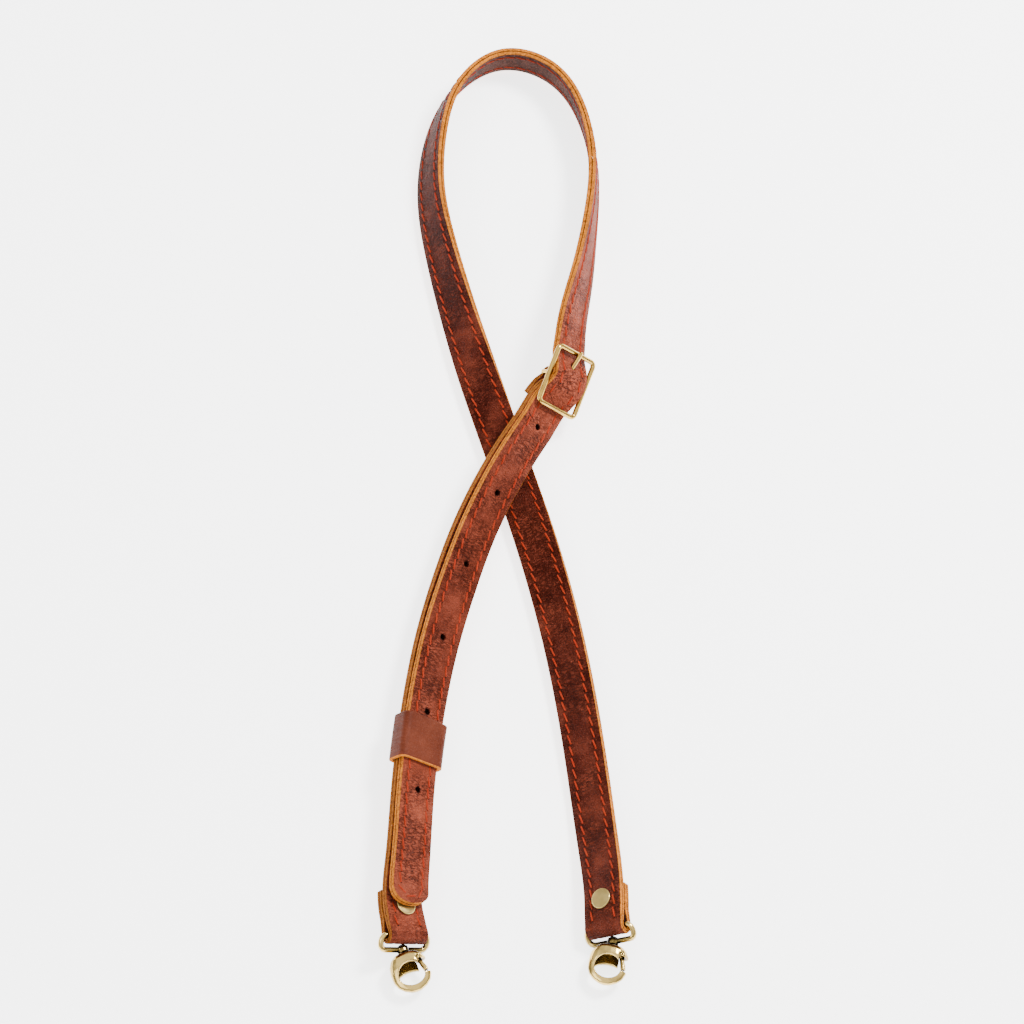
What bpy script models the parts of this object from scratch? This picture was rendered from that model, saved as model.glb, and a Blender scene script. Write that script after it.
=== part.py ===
"""Leather shoulder strap, lying in an open loop on a surface.

A long strap and a short strap, each of two plies of leather back to back, are joined by a
centre-bar buckle and a leather keeper.  Each end is folded round a wire ring and riveted, and
each ring carries a swivelling claw with a sprung gate.  Metres, +Z up, resting on z = 0, with
the loop's top towards +Y.
"""
import math

import bmesh
import bpy
import numpy as np
from mathutils import Matrix, Vector

# Leather
STRAP_WIDTH = 0.019
PLY = 0.00165
CLEARANCE = 0.0003
EDGE_CHAMFER = 0.0004
KEEPER_WALL = 0.0018
KEEPER_LENGTH = 0.0215
KEEPER_SLACK = 0.0005
TIP_LENGTH = 0.0085
HOLE_RADIUS = 0.0014
HOLE_PITCH = 0.0377
FIRST_HOLE_FROM_BUCKLE = 0.0261
HOLE_COUNT = 6
FLAP_LENGTH = 0.0185
BUCKLE_FLAP_LENGTH = 0.0125
RING_SKIVE = 0.7
BUCKLE_SKIVE = 0.5
SKIVE_RUN = 0.008

# Laid out
LAID_LENGTH = 0.472
LAID_WIDTH = 0.113

# Metal
RING_WIRE = 0.0028
RING_SIDE_SLACK = 0.0009
RING_DEPTH = 0.0070
RING_DROOP = math.radians(40)
BUCKLE_WIRE = 0.0024
BUCKLE_LENGTH = 0.0275
BUCKLE_SIDE_SLACK = 0.0006
BAR_DROP = 0.0042
BUCKLE_TILT = math.radians(3)
PRONG_WIRE = 0.0021
RIVET_CAP = 0.0094
RIVET_CAP_HEIGHT = 0.0011
RIVET_POST = 0.0028
RIVET_FROM_BAR = 0.0118
POST_WIRE = 0.0022
BOSS_DIAMETER = 0.0052
HOOK_LENGTH = 0.0182
HOOK_WIDTH = 0.0177
HOOD_DEPTH = 0.0104
HOOK_WALL = 0.0015
HOOK_NECK = 0.0007
POST_HEAD = 0.0004
ARM_WIDTH = 0.0030
ARM_FOOT = 0.0029
FRONT_LIP = 0.0049
BACK_LIP = 0.0076
GATE_START = 0.0047
GATE_END = 0.0110
GATE_PIN = 0.0014
HOOK_PITCH = math.radians(1)
RIGHT_SLEW = math.radians(-12)
LEFT_SLEW = math.radians(19)

WELD = 1e-6
THICKNESS = 2 * PLY + CLEARANCE
LAYER = THICKNESS + CLEARANCE

# The long strap's route from the right ring over the loop and through the buckle to the left
# ring.  across and along are shares of the laid width and length, roll is how far the right-hand
# edge is raised in degrees, layers is how many straps lie below and rise is what it arches above
# them, in strap thicknesses.
ROUTE_COLUMNS = ("across", "along", "roll", "layers", "rise")
ROUTE = (
    (0.359, -0.437, 34, 1.45, 0.00),
    (0.360, -0.408, 33, 1.40, 0.00),
    (0.339, -0.351, 28, 0.20, 0.00),
    (0.278, -0.239, 25, 0.00, 0.00),
    (0.194, -0.127, 21, 0.00, 0.00),
    (0.071, -0.014, 13, 0.00, 0.00),
    (-0.014, 0.051, 9, 0.00, 0.00),
    (-0.097, 0.113, 13, 0.00, 0.00),
    (-0.170, 0.168, 28, 0.00, 0.00),
    (-0.238, 0.225, 40, 0.00, 0.00),
    (-0.298, 0.283, 49, 0.00, 0.00),
    (-0.338, 0.344, 56, 0.00, 0.00),
    (-0.322, 0.405, 63, 0.00, 0.00),
    (-0.229, 0.464, 75, 0.00, 0.00),
    (-0.039, 0.496, 83, 0.00, 0.00),
    (0.165, 0.481, 87, 0.00, 0.00),
    (0.298, 0.430, 88, 0.00, 0.00),
    (0.342, 0.368, 85, 0.00, 0.00),
    (0.325, 0.302, 79, 0.00, 0.60),
    (0.287, 0.237, 67, 0.00, 1.90),
    (0.241, 0.1705, 54, 0.00, 4.10),
    (0.206, 0.1225, 46, 0.00, 3.05),
    (0.117, 0.0830, 45, 1.00, 1.70),
    (0.013, 0.040, 44, 1.00, 2.20),
    (-0.121, -0.021, 42, 1.00, 0.60),
    (-0.211, -0.082, 38, 1.60, 0.00),
    (-0.285, -0.145, 36, 1.60, 0.00),
    (-0.335, -0.207, 37, 1.80, 0.00),
    (-0.380, -0.300, 39, 1.80, 0.00),
    (-0.397, -0.373, 37, 1.90, 0.00),
    (-0.398, -0.418, 33, 2.70, 0.00),
    (-0.379, -0.441, 30, 2.95, 0.00),
)
BUCKLE_ROW = 21

# How far the billet stands off the short strap, by share of the way from buckle to left ring
SLIT_COLUMNS = ("way", "opening")
SLIT = (
    (0.00, 0.00),
    (0.15, 0.25),
    (0.42, 0.50),
    (0.58, 0.15),
    (0.68, 0.05),
    (0.80, 0.08),
    (0.88, 0.25),
    (0.94, 0.50),
    (1.00, 0.55),
)

# The claw's outline: shares of its length, width and hood depth, from crown to foot
HOOK_COLUMNS = ("along", "width", "depth")
HOOK_SECTIONS = (
    (0.00, 0.44, 0.68),
    (0.03, 0.62, 0.84),
    (0.11, 0.81, 0.96),
    (0.24, 0.95, 1.00),
    (0.38, 1.00, 0.96),
    (0.52, 1.00, 0.78),
    (0.66, 0.97, 0.58),
    (0.80, 0.84, 0.46),
    (0.91, 0.60, 0.40),
    (0.98, 0.30, 0.30),
    (1.00, 0.10, 0.14),
)

# The gate's lever: how far along the claw, how far out, and how wide and deep it is there
GATE_COLUMNS = ("along", "out", "width", "depth")
GATE_SECTIONS = (
    (0.190, 0.270, 0.105, 0.23),
    (0.330, 0.325, 0.125, 0.28),
    (0.440, 0.365, 0.140, 0.34),
    (0.535, 0.385, 0.140, 0.38),
    (0.565, 0.372, 0.085, 0.32),
)


def clear_scene():
    """Start from nothing."""
    for old in list(bpy.data.objects):
        bpy.data.objects.remove(old, do_unlink=True)


def finish(name, colour, metallic, roughness):
    """One plain Principled finish."""
    material = bpy.data.materials.new(name)
    material.use_nodes = True
    shader = material.node_tree.nodes["Principled BSDF"]
    shader.inputs["Base Color"].default_value = (*colour, 1.0)
    shader.inputs["Metallic"].default_value = metallic
    shader.inputs["Roughness"].default_value = roughness
    material.diffuse_color = (*colour, 1.0)
    return material


clear_scene()
STRAP_PARTS = bpy.data.collections.new("leather_shoulder_strap")
CUTTERS = bpy.data.collections.new("cutters")
bpy.context.scene.collection.children.link(STRAP_PARTS)
bpy.context.scene.collection.children.link(CUTTERS)
FRONT_LEATHER = finish("front_leather", (0.235, 0.066, 0.042), 0.0, 0.5)
BACK_LEATHER = finish("back_leather", (0.215, 0.060, 0.040), 0.0, 0.55)
KEEPER_LEATHER = finish("keeper_leather", (0.20, 0.055, 0.034), 0.0, 0.42)
POLISHED_BRASS = finish("polished_brass", (0.78, 0.63, 0.33), 1.0, 0.22)
ANTIQUE_BRASS = finish("antique_brass", (0.42, 0.32, 0.15), 1.0, 0.34)


def column(table, columns, name):
    """One named column of a table as an array."""
    return np.array([row[columns.index(name)] for row in table], dtype=float)


def natural_cubic(knots, values, at):
    """The smooth curve through the values at the knots, straight at both ends."""
    knots = np.asarray(knots, dtype=float)
    values = np.asarray(values, dtype=float)
    at = np.asarray(at, dtype=float)
    gap = np.diff(knots)
    slope = np.diff(values) / gap
    count = len(knots)
    system = np.eye(count)
    load = np.zeros(count)
    for i in range(1, count - 1):
        system[i, i - 1:i + 2] = gap[i - 1], 2 * (gap[i - 1] + gap[i]), gap[i]
        load[i] = 6 * (slope[i] - slope[i - 1])
    bend = np.linalg.solve(system, load)
    i = np.clip(np.searchsorted(knots, at, side="right") - 1, 0, count - 2)
    a = knots[i + 1] - at
    b = at - knots[i]
    g = gap[i]
    curve = (bend[i] * a ** 3 + bend[i + 1] * b ** 3) / (6 * g)
    line = (values[i] / g - bend[i] * g / 6) * a + (values[i + 1] / g - bend[i + 1] * g / 6) * b
    return curve + line


def unit(vectors):
    """Vectors of length one."""
    return vectors / np.linalg.norm(vectors, axis=-1, keepdims=True)


def ease(share):
    """A smooth step from 0 to 1."""
    share = np.clip(share, 0.0, 1.0)
    return share * share * (3 - 2 * share)


# Route: the middle of the long strap's thickness, with its roll, by distance from the right ring
roll_knots = np.radians(column(ROUTE, ROUTE_COLUMNS, "roll"))
lift = column(ROUTE, ROUTE_COLUMNS, "layers") * LAYER * np.cos(roll_knots)
height = (STRAP_WIDTH / 2 * np.sin(roll_knots) + THICKNESS / 2 * np.cos(roll_knots) + lift
          + column(ROUTE, ROUTE_COLUMNS, "rise") * THICKNESS)
stations = np.stack([column(ROUTE, ROUTE_COLUMNS, "across") * LAID_WIDTH,
                     column(ROUTE, ROUTE_COLUMNS, "along") * LAID_LENGTH, height], axis=1)
distance = np.concatenate([[0.0], np.cumsum(np.linalg.norm(np.diff(stations, axis=0), axis=1))])
ROUTE_END = distance[-1]
BUCKLE_AT = distance[BUCKLE_ROW]


def route_frames(at):
    """Centre, heading, right-hand width direction and outward face normal along the route."""
    at = np.atleast_1d(np.asarray(at, dtype=float))
    probe = 1e-5

    def centre_at(where):
        return np.stack([natural_cubic(distance, stations[:, k], where) for k in range(3)], axis=1)

    centre = centre_at(at)
    heading = unit(centre_at(at + probe) - centre_at(at - probe))
    level = unit(np.stack([heading[:, 1], -heading[:, 0], np.zeros(len(at))], axis=1))
    raised = np.cross(level, heading)
    roll = natural_cubic(distance, roll_knots, at)[:, None]
    width = np.cos(roll) * level + np.sin(roll) * raised
    normal = unit(np.cross(width, heading))
    return centre, heading, width, normal


# Buckle places, measured along the face normal from the route
BAR_RADIUS = BUCKLE_WIRE / 2
CENTRE_BAR = -BAR_RADIUS
OUTER_BAR = CENTRE_BAR + BAR_DROP
FOLD_LAYER = THICKNESS * BUCKLE_SKIVE
BUCKLE_FOLD = BAR_RADIUS + 2 * CLEARANCE + FOLD_LAYER / 2
STRAP_AT_BAR = OUTER_BAR - BAR_RADIUS - 2 * CLEARANCE - THICKNESS / 2
STRAP_AT_MIDDLE = CENTRE_BAR + BUCKLE_FOLD + FOLD_LAYER / 2 + CLEARANCE + THICKNESS / 2
HUMP_REACH = 2.0
HUMP_FLAT = 0.02


def hump(at):
    """The long strap's wave through the leaning buckle: under, over and under its three bars."""
    along = (np.asarray(at, dtype=float) - BUCKLE_AT) / (BUCKLE_LENGTH / 2)
    away = np.abs(along)
    drop = ease((away - HUMP_FLAT) / (1 - HUMP_FLAT))
    inner = STRAP_AT_MIDDLE + (STRAP_AT_BAR - STRAP_AT_MIDDLE) * drop
    lean = -math.tan(BUCKLE_TILT) * BUCKLE_LENGTH / 2 * np.sign(along) * ease(away)
    fade = 1 - ease((away - 1) / (HUMP_REACH - 1))
    return (np.where(away < 1, inner, STRAP_AT_BAR) + lean) * fade


def skive(from_fold, share):
    """Thickness share, thinned towards a fold."""
    return share + (1 - share) * ease(np.asarray(from_fold, dtype=float) / SKIVE_RUN)


def standoff(at):
    """How far below the route the short strap's middle runs."""
    at = np.asarray(at, dtype=float)
    way = (at - BUCKLE_AT) / (ROUTE_END - BUCKLE_AT)
    opening = natural_cubic(column(SLIT, SLIT_COLUMNS, "way"),
                            column(SLIT, SLIT_COLUMNS, "opening"), np.clip(way, 0, 1))
    probe = 1e-5
    steepness = (hump(at + probe) - hump(at - probe)) / (2 * probe)
    both = THICKNESS * (1 + skive(at - BUCKLE_AT, BUCKLE_SKIVE)) / 2 + CLEARANCE
    return both * np.sqrt(1 + steepness ** 2) - hump(at) + opening * THICKNESS


def mesh_object(name, mesh_data, material, collection=None):
    """A new object of a mesh."""
    thing = bpy.data.objects.new(name, mesh_data)
    (collection or STRAP_PARTS).objects.link(thing)
    if material is not None:
        mesh_data.materials.append(material)
    return thing


def loft(name, rings, material, collection=None):
    """A closed solid through equal rings of points, capped at both ends."""
    shape = bmesh.new()
    rows = [[shape.verts.new(Vector(point)) for point in ring] for ring in rings]
    side_count = len(rows[0])
    for row, following in zip(rows, rows[1:]):
        for k in range(side_count):
            j = (k + 1) % side_count
            shape.faces.new((row[k], row[j], following[j], following[k]))
    shape.faces.new(rows[0][::-1])
    shape.faces.new(rows[-1])
    bmesh.ops.triangulate(shape, faces=[f for f in shape.faces if len(f.verts) > 4])
    bmesh.ops.recalc_face_normals(shape, faces=shape.faces)
    data = bpy.data.meshes.new(name)
    shape.to_mesh(data)
    shape.free()
    data.shade_smooth()
    data.set_sharp_from_angle(angle=math.radians(35))
    return mesh_object(name, data, material, collection)


def cut(thing, cutter, operation="DIFFERENCE"):
    """Apply a Boolean and drop its cutter."""
    modifier = thing.modifiers.new("cut", "BOOLEAN")
    modifier.operation = operation
    modifier.solver = "EXACT"
    modifier.object = cutter
    depsgraph = bpy.context.evaluated_depsgraph_get()
    data = bpy.data.meshes.new_from_object(thing.evaluated_get(depsgraph))
    thing.modifiers.remove(modifier)
    shape = bmesh.new()
    shape.from_mesh(data)
    bmesh.ops.remove_doubles(shape, verts=shape.verts, dist=WELD)
    bmesh.ops.dissolve_degenerate(shape, edges=shape.edges, dist=WELD)
    shape.to_mesh(data)
    shape.free()
    thing.data = data
    bpy.data.objects.remove(cutter, do_unlink=True)


def frame_matrix(origin, x_axis, y_axis, z_axis):
    """The matrix of a local frame."""
    matrix = Matrix.Identity(4)
    for k, axis in enumerate((x_axis, y_axis, z_axis)):
        for i in range(3):
            matrix[i][k] = float(axis[i])
    for i in range(3):
        matrix[i][3] = float(origin[i])
    return matrix


def cylinder(name, matrix, radius, low, high, material=None, sides=16, top_radius=None):
    """A cylinder or cone along a frame's z axis, from low to high."""
    shape = bmesh.new()
    bmesh.ops.create_cone(shape, cap_ends=True, cap_tris=False, segments=sides, radius1=radius,
                          radius2=radius if top_radius is None else top_radius, depth=high - low)
    bmesh.ops.translate(shape, verts=shape.verts, vec=(0, 0, (low + high) / 2))
    bmesh.ops.transform(shape, matrix=matrix, verts=shape.verts)
    data = bpy.data.meshes.new(name)
    shape.to_mesh(data)
    shape.free()
    thing = mesh_object(name, data, material, STRAP_PARTS if material else CUTTERS)
    if material is None:
        thing.hide_render = True
        thing.display_type = "WIRE"
    return thing


def turned(name, matrix, profile, material, sides=18):
    """A solid turned about a frame's z axis from (radius, height) corners, foot to top."""
    angles = np.linspace(0, 2 * math.pi, sides, endpoint=False)
    rings = []
    for radius, level in profile:
        local = np.stack([radius * np.cos(angles), radius * np.sin(angles),
                          np.full(sides, level)], axis=1)
        rings.append([matrix @ Vector(point) for point in local])
    return loft(name, rings, material)


def wire(name, points, radius, material, closed=False, sides=8):
    """A round wire through points, as one welded mesh."""
    curve = bpy.data.curves.new(name, "CURVE")
    curve.dimensions = "3D"
    curve.bevel_depth = radius
    curve.bevel_resolution = max(0, sides // 4)
    curve.use_fill_caps = not closed
    spline = curve.splines.new("POLY")
    spline.points.add(len(points) - 1)
    spline.points.foreach_set("co", np.c_[np.asarray(points), np.ones(len(points))].ravel())
    spline.use_cyclic_u = closed
    guide = bpy.data.objects.new(name + "_path", curve)
    STRAP_PARTS.objects.link(guide)
    depsgraph = bpy.context.evaluated_depsgraph_get()
    data = bpy.data.meshes.new_from_object(guide.evaluated_get(depsgraph))
    bpy.data.objects.remove(guide, do_unlink=True)
    shape = bmesh.new()
    shape.from_mesh(data)
    bmesh.ops.remove_doubles(shape, verts=shape.verts, dist=1e-6)
    bmesh.ops.recalc_face_normals(shape, faces=shape.faces)
    shape.to_mesh(data)
    shape.free()
    data.name = name
    data.materials.clear()
    data.shade_smooth()
    return mesh_object(name, data, material)


def ply_rings(centre, width, normal, thickness, half_width, outer):
    """Section rings of one ply: the outer ply's face has chamfered edges, its back is square."""
    half_gap = CLEARANCE / 2
    rings = []
    for c, w, n, t, h in zip(centre, width, normal, thickness, half_width):
        far = t / 2
        bevel = min(EDGE_CHAMFER, far / 3, h / 3)
        sign = 1.0 if outer else -1.0
        corners = ((-h, half_gap), (h, half_gap), (h, far - bevel), (h - bevel, far),
                   (-h + bevel, far), (-h, far - bevel))
        rings.append([c + w * across + n * sign * up for across, up in corners])
    return rings


def face_normals(centre, width, sign=1.0):
    """The outward normals of a displaced strap, square to its own slope."""
    slope = np.gradient(centre, axis=0) * sign
    return unit(np.cross(width, slope))


def spaced(start, end, step):
    """Distances from start to end, about a step apart."""
    count = max(1, int(round(abs(end - start) / step)))
    return np.linspace(start, end, count + 1)


def fold_rows(centre, outward, normal, radius, turns=8):
    """Half a turn round a bar: middles and outward normals, from the top layer to the flap."""
    turn = np.linspace(0, math.pi, turns + 1)[1:-1, None]
    away = np.cos(turn) * normal + np.sin(turn) * outward
    return centre + radius * away, away


STEP = 0.009
LOOP_STEP = 0.0075
WAVE_STEP = 0.0021
TURN_COUNT = 8
RING_RADIUS = RING_WIRE / 2
RING_FOLD = RING_RADIUS + CLEARANCE + THICKNESS * RING_SKIVE / 2
TIP_AT = ROUTE_END - 0.0105


def long_strap():
    """Both plies of the long strap, from its flap under the right end to the billet's tip."""
    wave = HUMP_REACH * BUCKLE_LENGTH / 2
    at = np.concatenate([
        spaced(0, 0.3 * ROUTE_END, STEP)[:-1],
        spaced(0.3 * ROUTE_END, BUCKLE_AT - wave, LOOP_STEP)[:-1],
        spaced(BUCKLE_AT - wave, BUCKLE_AT + wave, WAVE_STEP)[:-1],
        spaced(BUCKLE_AT + wave, TIP_AT - TIP_LENGTH, STEP)[:-1],
        TIP_AT - TIP_LENGTH * (1 - np.sin(np.linspace(0, 0.97, 7) * math.pi / 2)),
    ])
    centre, heading, width, normal = route_frames(at)
    centre = centre + normal * hump(at)[:, None]
    normal = face_normals(centre, width)
    thickness = THICKNESS * skive(at, RING_SKIVE)
    tip = np.clip((at - (TIP_AT - TIP_LENGTH)) / TIP_LENGTH, 0, 1)
    half_width = STRAP_WIDTH / 2 * np.sqrt(np.clip(1 - tip ** 2.6, 0.03, 1))
    bar = centre[0] - normal[0] * RING_FOLD
    arc, arc_normal = fold_rows(bar, -heading[0], normal[0], RING_FOLD, TURN_COUNT)
    flap = spaced(0, FLAP_LENGTH, STEP / 2)
    flap_centre, _, flap_width, flap_normal = route_frames(flap)
    apart = LAYER + (2 * RING_FOLD - LAYER) * (1 - ease(flap / SKIVE_RUN))
    flap_centre = flap_centre - flap_normal * apart[:, None]
    flap_normal = face_normals(flap_centre, flap_width)
    rows = (
        np.concatenate([flap_centre[::-1], arc[::-1], centre]),
        np.concatenate([flap_width[::-1], np.repeat(width[:1], len(arc), 0), width]),
        np.concatenate([-flap_normal[::-1], arc_normal[::-1], normal]),
        np.concatenate([THICKNESS * skive(flap[::-1], RING_SKIVE),
                        np.full(len(arc), THICKNESS * RING_SKIVE), thickness]),
        np.concatenate([np.full(len(flap) + len(arc), STRAP_WIDTH / 2), half_width]),
    )
    front = loft("long_strap_front", ply_rings(*rows, outer=True), FRONT_LEATHER)
    back = loft("long_strap_back", ply_rings(*rows, outer=False), BACK_LEATHER)
    return front, back, bar


def short_strap():
    """Both plies of the short strap, from the buckle's centre bar to the left ring."""
    wave = BUCKLE_AT + HUMP_REACH * BUCKLE_LENGTH / 2
    at = np.concatenate([spaced(BUCKLE_AT, wave, WAVE_STEP * 1.4)[:-1],
                         spaced(wave, ROUTE_END, STEP)])
    centre, heading, width, normal = route_frames(at)
    centre = centre - normal * standoff(at)[:, None]
    bar_top = centre[0] - normal[0] * BUCKLE_FOLD
    bar_end = centre[-1] - normal[-1] * RING_FOLD
    normal = np.concatenate([normal[:1], face_normals(centre, width)[1:-1], normal[-1:]])
    thickness = THICKNESS * np.minimum(skive(at - BUCKLE_AT, BUCKLE_SKIVE),
                                       skive(ROUTE_END - at, RING_SKIVE))
    top_arc, top_normal = fold_rows(bar_top, -heading[0], normal[0], BUCKLE_FOLD, TURN_COUNT)
    top_flap = spaced(0, BUCKLE_FLAP_LENGTH, WAVE_STEP * 1.4)
    top_centre, _, top_width, top_flap_normal = route_frames(BUCKLE_AT + top_flap)
    top_apart = LAYER + (2 * BUCKLE_FOLD - LAYER) * (1 - ease(top_flap / SKIVE_RUN))
    steepness = np.gradient(standoff(BUCKLE_AT + top_flap), top_flap)
    steepness[0] = 0.0
    top_apart = top_apart * np.sqrt(1 + steepness ** 2)
    top_centre = top_centre - top_flap_normal * (standoff(BUCKLE_AT + top_flap)
                                                 + top_apart)[:, None]
    top_flap_normal = face_normals(top_centre, top_width)
    end_arc, end_normal = fold_rows(bar_end, heading[-1], normal[-1], RING_FOLD, TURN_COUNT)
    end_flap = spaced(0, FLAP_LENGTH, STEP / 2)
    end_centre, _, end_width, end_flap_normal = route_frames(ROUTE_END - end_flap)
    end_apart = LAYER + (2 * RING_FOLD - LAYER) * (1 - ease(end_flap / SKIVE_RUN))
    end_centre = end_centre - end_flap_normal * (standoff(ROUTE_END - end_flap)
                                                 + end_apart)[:, None]
    end_flap_normal = face_normals(end_centre, end_width, -1.0)
    rows = (
        np.concatenate([top_centre[::-1], top_arc[::-1], centre, end_arc, end_centre]),
        np.concatenate([top_width[::-1], np.repeat(width[:1], len(top_arc), 0), width,
                        np.repeat(width[-1:], len(end_arc), 0), end_width]),
        np.concatenate([-top_flap_normal[::-1], top_normal[::-1], normal, end_normal,
                        -end_flap_normal]),
        np.concatenate([THICKNESS * skive(top_flap[::-1], BUCKLE_SKIVE),
                        np.full(len(top_arc), THICKNESS * BUCKLE_SKIVE), thickness,
                        np.full(len(end_arc), THICKNESS * RING_SKIVE),
                        THICKNESS * skive(end_flap, RING_SKIVE)]),
        np.full(len(top_flap) + len(top_arc) + len(at) + len(end_arc) + len(end_flap),
                STRAP_WIDTH / 2),
    )
    front = loft("short_strap_front", ply_rings(*rows, outer=True), FRONT_LEATHER)
    back = loft("short_strap_back", ply_rings(*rows, outer=False), BACK_LEATHER)
    return front, back, bar_top, bar_end


def face_frame(at, below):
    """A frame on the strap: x across, y along it, z out of its face, its origin below the route."""
    centre, heading, width, normal = route_frames(at)
    origin = centre[0] - normal[0] * below
    return frame_matrix(origin, -width[0], -heading[0], normal[0])


def rivet(name, at, below, plies):
    """A cap rivet through a folded end: two caps on a post, with a hole in every ply."""
    matrix = face_frame(at, below)
    top = THICKNESS / 2 + 2 * CLEARANCE
    foot = -LAYER - THICKNESS / 2 - 2 * CLEARANCE
    cap = RIVET_CAP / 2
    rim = RIVET_CAP_HEIGHT * 0.45
    post = RIVET_POST / 2
    profile = ((cap * 0.8, foot - rim), (cap, foot - rim * 0.6), (cap, foot), (post, foot),
               (post, top), (cap, top), (cap, top + rim), (cap * 0.86, top + rim * 1.75),
               (cap * 0.4, top + RIVET_CAP_HEIGHT))
    turned(name, matrix, profile, ANTIQUE_BRASS)
    for ply in plies:
        hole = cylinder("rivet_hole", matrix, post + CLEARANCE, foot - LAYER / 4, top + LAYER / 4)
        cut(ply, hole)


def keeper():
    """The one-ply band round both straps, a rounded rectangle carried along the route."""
    middle = 0.5 * (distance[27] + distance[28])
    at = spaced(middle - KEEPER_LENGTH / 2, middle + KEEPER_LENGTH / 2, KEEPER_LENGTH / 4)
    centre, _, width, normal = route_frames(at)
    half = STRAP_WIDTH / 2 + KEEPER_SLACK
    top = THICKNESS / 2 + KEEPER_SLACK
    round_off = min(top, half) * 0.6
    outline = []
    for quarter, (sx, sy) in enumerate(((1, 1), (-1, 1), (-1, -1), (1, -1))):
        for step in range(4):
            turn = math.radians(90 * quarter + 30 * step)
            outline.append((sx, sy, round_off * math.cos(turn), round_off * math.sin(turn)))
    shape = bmesh.new()
    rows = []
    for c, w, n, low in zip(centre, width, normal, standoff(at) + top):
        row = []
        for sx, sy, cx, cy in outline:
            across = sx * (half - round_off) + cx
            up = (top - round_off if sy > 0 else round_off - low) + cy
            row.append(shape.verts.new(Vector(c + w * across + n * up)))
        rows.append(row)
    for row, following in zip(rows, rows[1:]):
        for k in range(len(row)):
            j = (k + 1) % len(row)
            shape.faces.new((row[k], following[k], following[j], row[j]))
    bmesh.ops.recalc_face_normals(shape, faces=shape.faces)
    data = bpy.data.meshes.new("keeper")
    shape.to_mesh(data)
    shape.free()
    data.shade_smooth()
    band = mesh_object("keeper", data, KEEPER_LEATHER)
    wall = band.modifiers.new("wall", "SOLIDIFY")
    wall.thickness = KEEPER_WALL
    wall.offset = 1.0
    wall.use_even_offset = True
    return band


def arc_points(centre, radius, start, end, count):
    """Points of an arc in a plane."""
    turn = np.linspace(start, end, count)
    return np.stack([centre[0] + radius * np.cos(turn), centre[1] + radius * np.sin(turn)], axis=1)


def rounded_loop(width, length, radius, count=4):
    """A closed rectangle with round corners, centred, as points."""
    x = width / 2 - radius
    y = length / 2 - radius
    quarters = ((x, y, 0), (-x, y, 90), (-x, -y, 180), (x, -y, 270))
    return np.concatenate([arc_points((cx, cy), radius, math.radians(a), math.radians(a + 90), count)
                           for cx, cy, a in quarters])


def buckle(plies):
    """The wire frame with its centre bar soldered under the rails, and the prong."""
    centre, heading, width, normal = route_frames(BUCKLE_AT)
    axis = Matrix.Translation((0, 0, CENTRE_BAR))
    matrix = (frame_matrix(centre[0], -width[0], -heading[0], normal[0]) @ axis
              @ Matrix.Rotation(BUCKLE_TILT, 4, "X") @ axis.inverted())
    rail_width = STRAP_WIDTH + 2 * BUCKLE_SIDE_SLACK + BUCKLE_WIRE
    loop = rounded_loop(rail_width, BUCKLE_LENGTH, BUCKLE_WIRE * 0.9)
    points = [matrix @ Vector((x, y, OUTER_BAR)) for x, y in loop]
    frame = wire("buckle_frame", points, BAR_RADIUS, POLISHED_BRASS, closed=True)
    seat = BAR_RADIUS * 0.25
    bar_points = [matrix @ Vector((sx * (rail_width / 2 + seat), 0, CENTRE_BAR))
                  for sx in (-1, 1)]
    bar = wire("centre_bar", bar_points, BAR_RADIUS, POLISHED_BRASS)
    cut(frame, bar, "UNION")
    for sx in (-1, 1):
        foot = [matrix @ Vector((sx * rail_width / 2, 0, level))
                for level in (CENTRE_BAR - seat, OUTER_BAR)]
        cut(frame, wire("bar_foot", foot, BAR_RADIUS * 0.9, POLISHED_BRASS), "UNION")
    prong_radius = PRONG_WIRE / 2
    eye = BAR_RADIUS + CLEARANCE + prong_radius
    tip_height = OUTER_BAR + BAR_RADIUS + 3 * CLEARANCE + prong_radius
    tip_reach = BUCKLE_LENGTH / 2 + BAR_RADIUS * 1.1
    lean = math.atan2(tip_height - CENTRE_BAR - eye, tip_reach)
    side = []
    for turn in np.linspace(math.radians(-140), math.radians(90), 11):
        side.append((-eye * math.cos(turn + lean), CENTRE_BAR + eye * math.sin(turn + lean)))
    shaft = np.linspace(0.15, 1.0, 6)
    start = side[-1]
    for share in shaft:
        side.append((start[0] + (tip_reach - start[0]) * share,
                     start[1] + (tip_height - start[1]) * share))
    prong = wire("buckle_prong", [matrix @ Vector((0, y, z)) for y, z in side], prong_radius,
                 POLISHED_BRASS)
    front, back, short_front, short_back = plies
    for ply in (front, back):
        way = wire("prong_way", [matrix @ Vector((0, y, z)) for y, z in side[8:]],
                   prong_radius + CLEARANCE, POLISHED_BRASS)
        cut(ply, way)
    for ply in (short_front, short_back):
        half = prong_radius + CLEARANCE
        stretch = Matrix.Diagonal((1, (eye + half + 3 * CLEARANCE) / half, 1, 1))
        cut(ply, cylinder("prong_gap", matrix @ stretch, half, -LAYER * 3, LAYER))
    return frame, prong


def claw_frame(bar, heading, width, slew):
    """The near bar, the ring's reach and the claw's aim, side and top below a folded end."""
    level = unit(np.array([heading[0], heading[1], 0.0]))
    level = unit(level - np.dot(level, width) * width)
    droop = np.cross(width, level)
    droop = droop if droop[2] < 0 else -droop
    reach = math.cos(RING_DROOP) * level + math.sin(RING_DROOP) * droop
    near_bar = bar + RING_DEPTH * reach
    aim = np.array([math.sin(slew) * math.cos(HOOK_PITCH), -math.cos(slew) * math.cos(HOOK_PITCH),
                    -math.sin(HOOK_PITCH)])
    side = unit(np.cross(aim, np.array([0.0, 0.0, 1.0])))
    return near_bar, reach, aim, side, np.cross(side, aim)


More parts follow.
